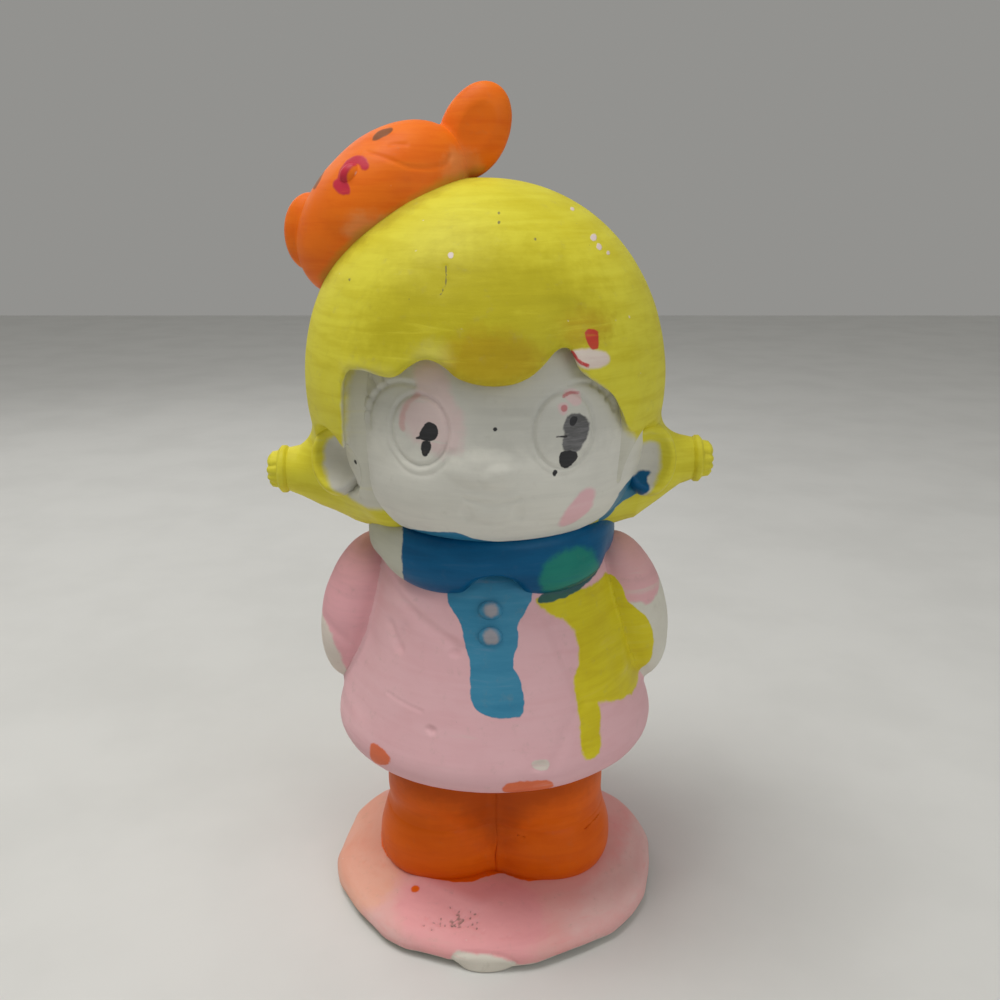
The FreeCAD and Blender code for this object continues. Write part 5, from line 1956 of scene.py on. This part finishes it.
@dataclass
class Hair(SubAssembly):
    """The bobbed hair with its scalloped fringe and two flicks, each tied with a band."""

    voxel: float = 0.62
    skull: Optional[Form] = None
    temples: Optional[Form] = None
    ease: float = 7.0

    def dome(self) -> Form:
        """Shapes the rounded mass of the hair down to its lower edge.

        Returns:
            The form.
        """
        box = node_box("hair_cap")
        half = box.half
        top = float(box.high[2])
        centre = (float(box.centre[0]), float(box.centre[1]), top - 44.6)
        ball = Ball(centre, (float(half[0]) - 0.3, float(half[1]) - 0.3, 44.6), power=2.05)
        edge = Half((0.0, 0.0, float(box.low[2])), (0.0, 0.0, -1.0))
        return Kept(ball, [edge], 1.6)

    def flick(self, side: str, sign: float) -> Form:
        """Shapes a lock that sweeps outwards from the hair to its band.

        Args:
            side: the side's name.
            sign: 1 for +X and -1 for -X.

        Returns:
            The form.
        """
        box = node_box(f"{side}_flick")
        band = node_box(f"{side}_hair_band")
        end = float(band.low[0]) if sign > 0 else float(band.high[0])
        middle = float(band.centre[2])
        half = float(band.half[2]) - 0.5
        reach = abs(end)
        return Horn(
            [sign * 28.0, sign * 34.0, sign * (reach - 8.0), sign * (reach - 3.0), end],
            [110.6, 110.8, (110.8 + middle) / 2, middle - 0.3, middle],
            [12.4, 11.6, 8.8, 6.2, half],
            [11.6, 10.6, 7.8, 5.8, half - 0.2],
        )

    def hollow(self, sign: float) -> Form:
        """The bowl around an ear, pressed into the hair from the front and the side."""
        return Ball((sign * 36.4, -19.0, 117.2), (8.6, 9.4, 8.8))

    def face_space(self) -> Form:
        """The space that the fringe and the side locks leave for the face, shallow at the temples."""
        return Carved(Column(softened(Fringe.OPENING, 2), -10.0, 3.0), [self.temples], 0.6)

    def members(self) -> dict[str, Form]:
        """Shapes the hair and both flicks.

        Returns:
            Each node's form.
        """
        forms: dict[str, Form] = {"hair_cap": self.dome()}
        for side, sign in SIDES:
            forms[f"{side}_flick"] = self.flick(side, sign)
        return forms

    def marks(self) -> list[Mark]:
        """Lists the soft locks in the hair and a scratch.

        Returns:
            The marks.
        """
        locks = [
            Crease([(-12.8, 146.0), (-13.6, 152.0), (-12.0, 158.0)], 3.2, -0.35),
            Crease([(14.6, 147.0), (15.6, 153.0), (13.0, 160.0)], 3.2, -0.35),
            Crease([(-34.0, 128.0), (-35.0, 140.0), (-32.0, 152.0)], 3.5, -0.3),
            Crease([(33.0, 128.0), (34.0, 140.0), (31.0, 152.0)], 3.5, -0.35),
            Swell((27.0, 134.0), (4.5, 8.0), -0.5),
            Crease([(-9.4, 161.4), (-9.2, 158.5), (-10.4, 156.2)], 0.3, -0.25),
        ]
        for x in (-28.0, -14.0, 0.0, 14.0, 28.0):
            locks.append(Crease([(x, 104.0), (0.9 * x, 122.0), (0.6 * x, 150.0)], 3.0, -0.5, View.BACK))
        return locks

    def build(self) -> None:
        """See SubAssembly.build."""
        family = Family(self.members(), self.ease)
        spaces = [self.face_space()] + [self.hollow(sign) for _, sign in SIDES]
        inner = Grown(self.skull, -2.4)
        finish = PaintedPlaster("yellow_hair_paint", [
            Coatwork(Colours.YELLOW, thin=0.12),
            # Darker yellow painted over the front of the hair as shade.
            Coatwork(replace_colour(Colours.YELLOW, (0.52, 0.45, 0.016)), "fringe_painted_shade", 5.0, 7.0, 0.9, 0.4),
            Coatwork(replace_colour(Colours.YELLOW, (0.50, 0.32, 0.012)), "fringe_ochre", 2.5, 3.0, 0.7, 0.5),
            Coatwork(replace_colour(Colours.YELLOW, (0.36, 0.26, 0.015)), "bear_border", 0.8, 1.2, 0.55, 0.5),
            Coatwork(replace_colour(Colours.YELLOW, (0.80, 0.76, 0.24)), "hair_thin", 1.8, 2.2, 0.32, 0.5),
            Coatwork(replace_colour(Colours.PLASTER, (0.64, 0.635, 0.57)), "temple", 1.0, 1.1, 0.95, 0.2),
            Coatwork(Colours.CHALK, "hair_chalk", 0.5, 0.45, 0.92, 0.2),
            Coatwork(Colours.RED, "hair_red", 0.35, 0.16, 0.92, 0.25),
            Coatwork(Colours.DARK_BROWN, "hair_marks", 0.1, 0.12, 0.8, 0.1),
            Coatwork(Colours.CHALK, "hair_white", 0.4, 0.12, 1.0, 0.1),
            Coatwork(replace_colour(Colours.STRIP_BLUE, (0.02, 0.18, 0.30)), "jaw_blue", 0.4, 0.2, 1.0, 0.1),
        ], Weathering(0.35, 0.55, 0.22))
        paints = [Areas.FRINGE_SHADE, Areas.FRINGE_OCHRE, Areas.BEAR_BORDER, Areas.HAIR_THIN, Areas.TEMPLE,
                  Areas.HAIR_CHALK, Areas.HAIR_RED, Areas.HAIR_MARKS, Areas.HAIR_WHITE, Areas.JAW_BLUE]
        for node in family.members:
            body = Carved(Carved(family.share(node), spaces, 1.6), [inner], 0.4)
            self.add(node, body, "yellow_paint", finish, self.marks(), paints,
                     voxel=self.voxel if node == "hair_cap" else 0.45, kin=family.members)
        for side, sign in SIDES:
            self.tie(side, sign, finish, paints)

    def tie(self, side: str, sign: float, finish: PaintedPlaster, paints: Sequence[PaintArea]) -> None:
        """Makes the band around a flick and the tuft beyond it.

        Args:
            side: the side's name.
            sign: 1 for +X and -1 for -X.
            finish: the hair's finish.
            paints: the areas of paint on it.
        """
        band = node_box(f"{side}_hair_band")
        tip = node_box(f"{side}_hair_tip")
        inner, outer = sorted((abs(float(band.low[0])), abs(float(band.high[0]))))
        middle = float(band.centre[2])
        high, deep = float(band.half[2]), float(band.half[1])
        loop = Horn([sign * (inner - 0.6), sign * (inner + 0.5), sign * (outer - 0.5), sign * (outer + 0.2)],
                    [middle] * 4, [high - 0.9, high, high, high - 0.8], [deep - 0.9, deep, deep, deep - 0.8])
        end = max(abs(float(tip.low[0])), abs(float(tip.high[0])))
        tuft_high, tuft_deep = float(tip.half[2]), float(tip.half[1])
        tuft = Horn([sign * (outer - 0.6), sign * outer, sign * (end - 0.9), sign * end],
                    [middle] * 4, [tuft_high, tuft_high, tuft_high * 0.93, tuft_high * 0.72],
                    [tuft_deep, tuft_deep, tuft_deep * 0.93, tuft_deep * 0.7])
        ridges = [Crease([(sign * (outer + 0.4), middle + dz), (sign * end, middle + 0.8 * dz)], 0.45, -0.35)
                  for dz in (-3.0, -0.6, 2.0)]
        self.add(f"{side}_hair_band", loop, "yellow_paint", finish, (), paints, voxel=0.32)
        self.add(f"{side}_hair_tip", tuft, "yellow_paint", finish, ridges, paints, voxel=0.32)


@dataclass
class Bear(SubAssembly):
    """The bear's head that sits aslant on the hair."""

    voxel: float = 0.5
    tilt: float = -44.5
    hair: Optional[Form] = None

    def members(self) -> dict[str, Form]:
        """Shapes the bear's head and ears.

        Returns:
            Each node's form.
        """
        box = node_box("bear_head")
        place = (float(box.centre[0]), float(box.centre[1]), float(box.high[2]) - 19.6)
        head = Ball(place, (23.2, 14.7, 15.2), lean=self.tilt)
        high = node_box("bear_left_ear")
        low = node_box("bear_right_ear")
        upper = Ball((-4.2, float(high.centre[1]), 188.8), (7.7, 4.6, 11.0), lean=25.0)
        lower = Ball((-42.6, float(low.centre[1]) + 0.6, 167.0), (5.8, 4.4, 8.8), lean=4.0)
        return {"bear_head": head, "bear_left_ear": upper, "bear_right_ear": lower}

    def marks(self) -> list[Mark]:
        """Lists the muzzle, the engraved smile and the hollow of the upper ear.

        Returns:
            The marks.
        """
        return [
            Swell((-28.0, 176.0), (12.5, 9.0), 0.8, 2.4, tilt=40.0),
            Crease([(-27.1, 183.6), (-22.2, 182.1), (-18.6, 180.7), (-14.4, 180.5), (-10.1, 181.2),
                    (-9.2, 183.2)], 0.42, -0.26),
            Crease([(-22.0, 185.2), (-20.4, 185.4), (-18.7, 185.4)], 0.4, -0.22),
            Swell((-24.1, 187.6), (2.6, 1.7), 0.25),
            Swell((-3.6, 189.4), (4.2, 6.2), -0.6, tilt=-25.0),
        ]

    def build(self) -> None:
        """See SubAssembly.build."""
        family = Family(self.members(), 0.8)
        rubbed = replace_colour(Colours.BEAR_ORANGE, (0.86, 0.36, 0.13))
        olive = replace_colour(Colours.BEAR_ORANGE, (0.50, 0.30, 0.02))
        crimson = replace_colour(Colours.RED, (0.56, 0.02, 0.07))
        smear = Coatwork(crimson, "bear_red", 0.45, 0.3, 0.92, 0.3)
        finish = PaintedPlaster("orange_bear_paint", [
            Coatwork(Colours.BEAR_ORANGE, thin=0.08),
            Coatwork(rubbed, "bear_thin", 2.0, 1.8, 0.5, 0.6),
            Coatwork(olive, "bear_border", 0.8, 1.2, 0.6, 0.4),
            Coatwork(Colours.BROWN, "bear_eyes", 0.35, 0.2, 0.85, 0.2),
            smear,
        ], Weathering(0.1, 0.2, 0.12))
        middle = float(node_box("bear_head").centre[1])
        paints = [Before(area, middle) for area in (Areas.BEAR_THIN, Areas.BEAR_BORDER, Areas.BEAR_EYES,
                                                    Areas.BEAR_RED)]
        inner = Grown(self.hair, -1.2)
        for node in family.members:
            body = Carved(family.share(node), [inner], 0.3)
            self.add(node, body, "bear_paint", finish, self.marks(), paints, kin=family.members)
        box = node_box("bear_nose")
        nose = Ball(tuple(float(c) for c in box.centre), (2.6, 1.7, 2.2), lean=self.tilt)
        nose_finish = PaintedPlaster("bear_nose_paint", [
            Coatwork(Colours.BEAR_ORANGE, thin=0.3),
            smear,
            Coatwork(Colours.CHALK, "nose_rub", 0.5, 0.4, 0.8, 0.3),
        ], Weathering(0.2, 0.3, 0.2))
        rub = Spots("nose_rub", [(-28.8, 179.2, 0.5)])
        self.add("bear_nose", nose, "bear_paint", nose_finish, (), [Areas.BEAR_RED, rub], voxel=0.3)


# ---------------------------------------------------------------------------
# The studio
# ---------------------------------------------------------------------------


@dataclass(frozen=True)
class Lamp:
    """A soft rectangular light that looks at the figure."""

    name: str
    place: Vec3
    size: Vec2
    power: float
    colour: Colour = (1.0, 1.0, 1.0)


@dataclass
class Studio:
    """The pale floor, the soft lights and the camera."""

    camera_place: Vec3 = (1.4, -236.0, 173.2)
    camera_pitch: float = 16.5
    lens: float = 36.0
    floor_half: float = 1400.0
    aim: Vec3 = (0.0, 0.0, 95.0)
    lamps: Sequence[Lamp] = (
        Lamp("key", (-240.0, -90.0, 900.0), (460.0, 460.0), 4.7, (1.0, 0.985, 0.955)),
        Lamp("fill", (480.0, -520.0, 430.0), (600.0, 500.0), 1.1, (0.97, 0.98, 1.0)),
        Lamp("rim", (-320.0, 480.0, 460.0), (400.0, 400.0), 0.5, (1.0, 0.99, 0.97)),
    )

    def floor(self) -> None:
        """Makes the pale table that the figurine stands on."""
        half = self.floor_half * MILLIMETRE
        data = bpy.data.meshes.new("table")
        data.from_pydata([(-half, -half, 0.0), (half, -half, 0.0), (half, half, 0.0), (-half, half, 0.0)], [],
                         [(0, 1, 2, 3)])
        table = bpy.data.objects.new("table", data)
        bpy.context.scene.collection.objects.link(table)
        s = Shader("pale_table")
        colour = s.blend(s.spread(s.cloud(60.0, 4.0), 0.35, 0.7), (0.70, 0.70, 0.68), (0.66, 0.66, 0.64))
        surface = s.node("ShaderNodeBsdfPrincipled")
        s.feed(surface.inputs["Base Color"], colour)
        surface.inputs["Roughness"].default_value = 0.6
        out = s.node("ShaderNodeOutputMaterial")
        s.tree.links.new(surface.outputs["BSDF"], out.inputs["Surface"])
        data.materials.append(s.material)

    def light(self) -> None:
        """Hangs the lights and sets the even glow around the table."""
        for lamp in self.lamps:
            data = bpy.data.lights.new(lamp.name, "AREA")
            data.shape = "RECTANGLE"
            data.size, data.size_y = (side * MILLIMETRE for side in lamp.size)
            data.energy = lamp.power
            data.color = lamp.colour
            made = bpy.data.objects.new(lamp.name, data)
            made.location = Vector(lamp.place) * MILLIMETRE
            way = (Vector(self.aim) - Vector(lamp.place)).normalized()
            made.rotation_euler = way.to_track_quat("-Z", "Y").to_euler()
            bpy.context.scene.collection.objects.link(made)
        world = bpy.data.worlds.new("studio_glow")
        world.use_nodes = True
        glow = world.node_tree.nodes["Background"]
        glow.inputs["Color"].default_value = (0.29, 0.287, 0.275, 1.0)
        glow.inputs["Strength"].default_value = 1.0
        bpy.context.scene.world = world

    def camera(self) -> None:
        """Sets up the camera, slightly above the figure and looking down at it."""
        data = bpy.data.cameras.new("camera")
        data.lens = self.lens
        data.sensor_width = 36.0
        made = bpy.data.objects.new("camera", data)
        made.location = Vector(self.camera_place) * MILLIMETRE
        made.rotation_euler = (math.radians(90.0 - self.camera_pitch), 0.0, 0.0)
        bpy.context.scene.collection.objects.link(made)
        bpy.context.scene.camera = made

    def build(self) -> None:
        """Makes the whole studio."""
        self.camera()
        self.floor()
        self.light()
        bpy.context.scene.view_settings.view_transform = "Standard"


def main() -> None:
    """Builds the studio and every sub-assembly in order, and notes the sizes."""
    logging.basicConfig(level=logging.INFO, format="%(name)s: %(message)s")
    Studio().build()
    sculptor = Sculptor()
    head = Head(sculptor)
    hair = Hair(sculptor, skull=head.skull(), temples=head.skull(2.2, 0.69))
    bear = Bear(sculptor, hair=hair.dome())
    for part in (Mound(sculptor), Legs(sculptor), Coat(sculptor), Scarf(sculptor), head, hair, bear):
        part.build()
        LOG.info("%s: %d pieces", type(part).__name__, len(part.made))


if __name__ == "__main__":
    main()
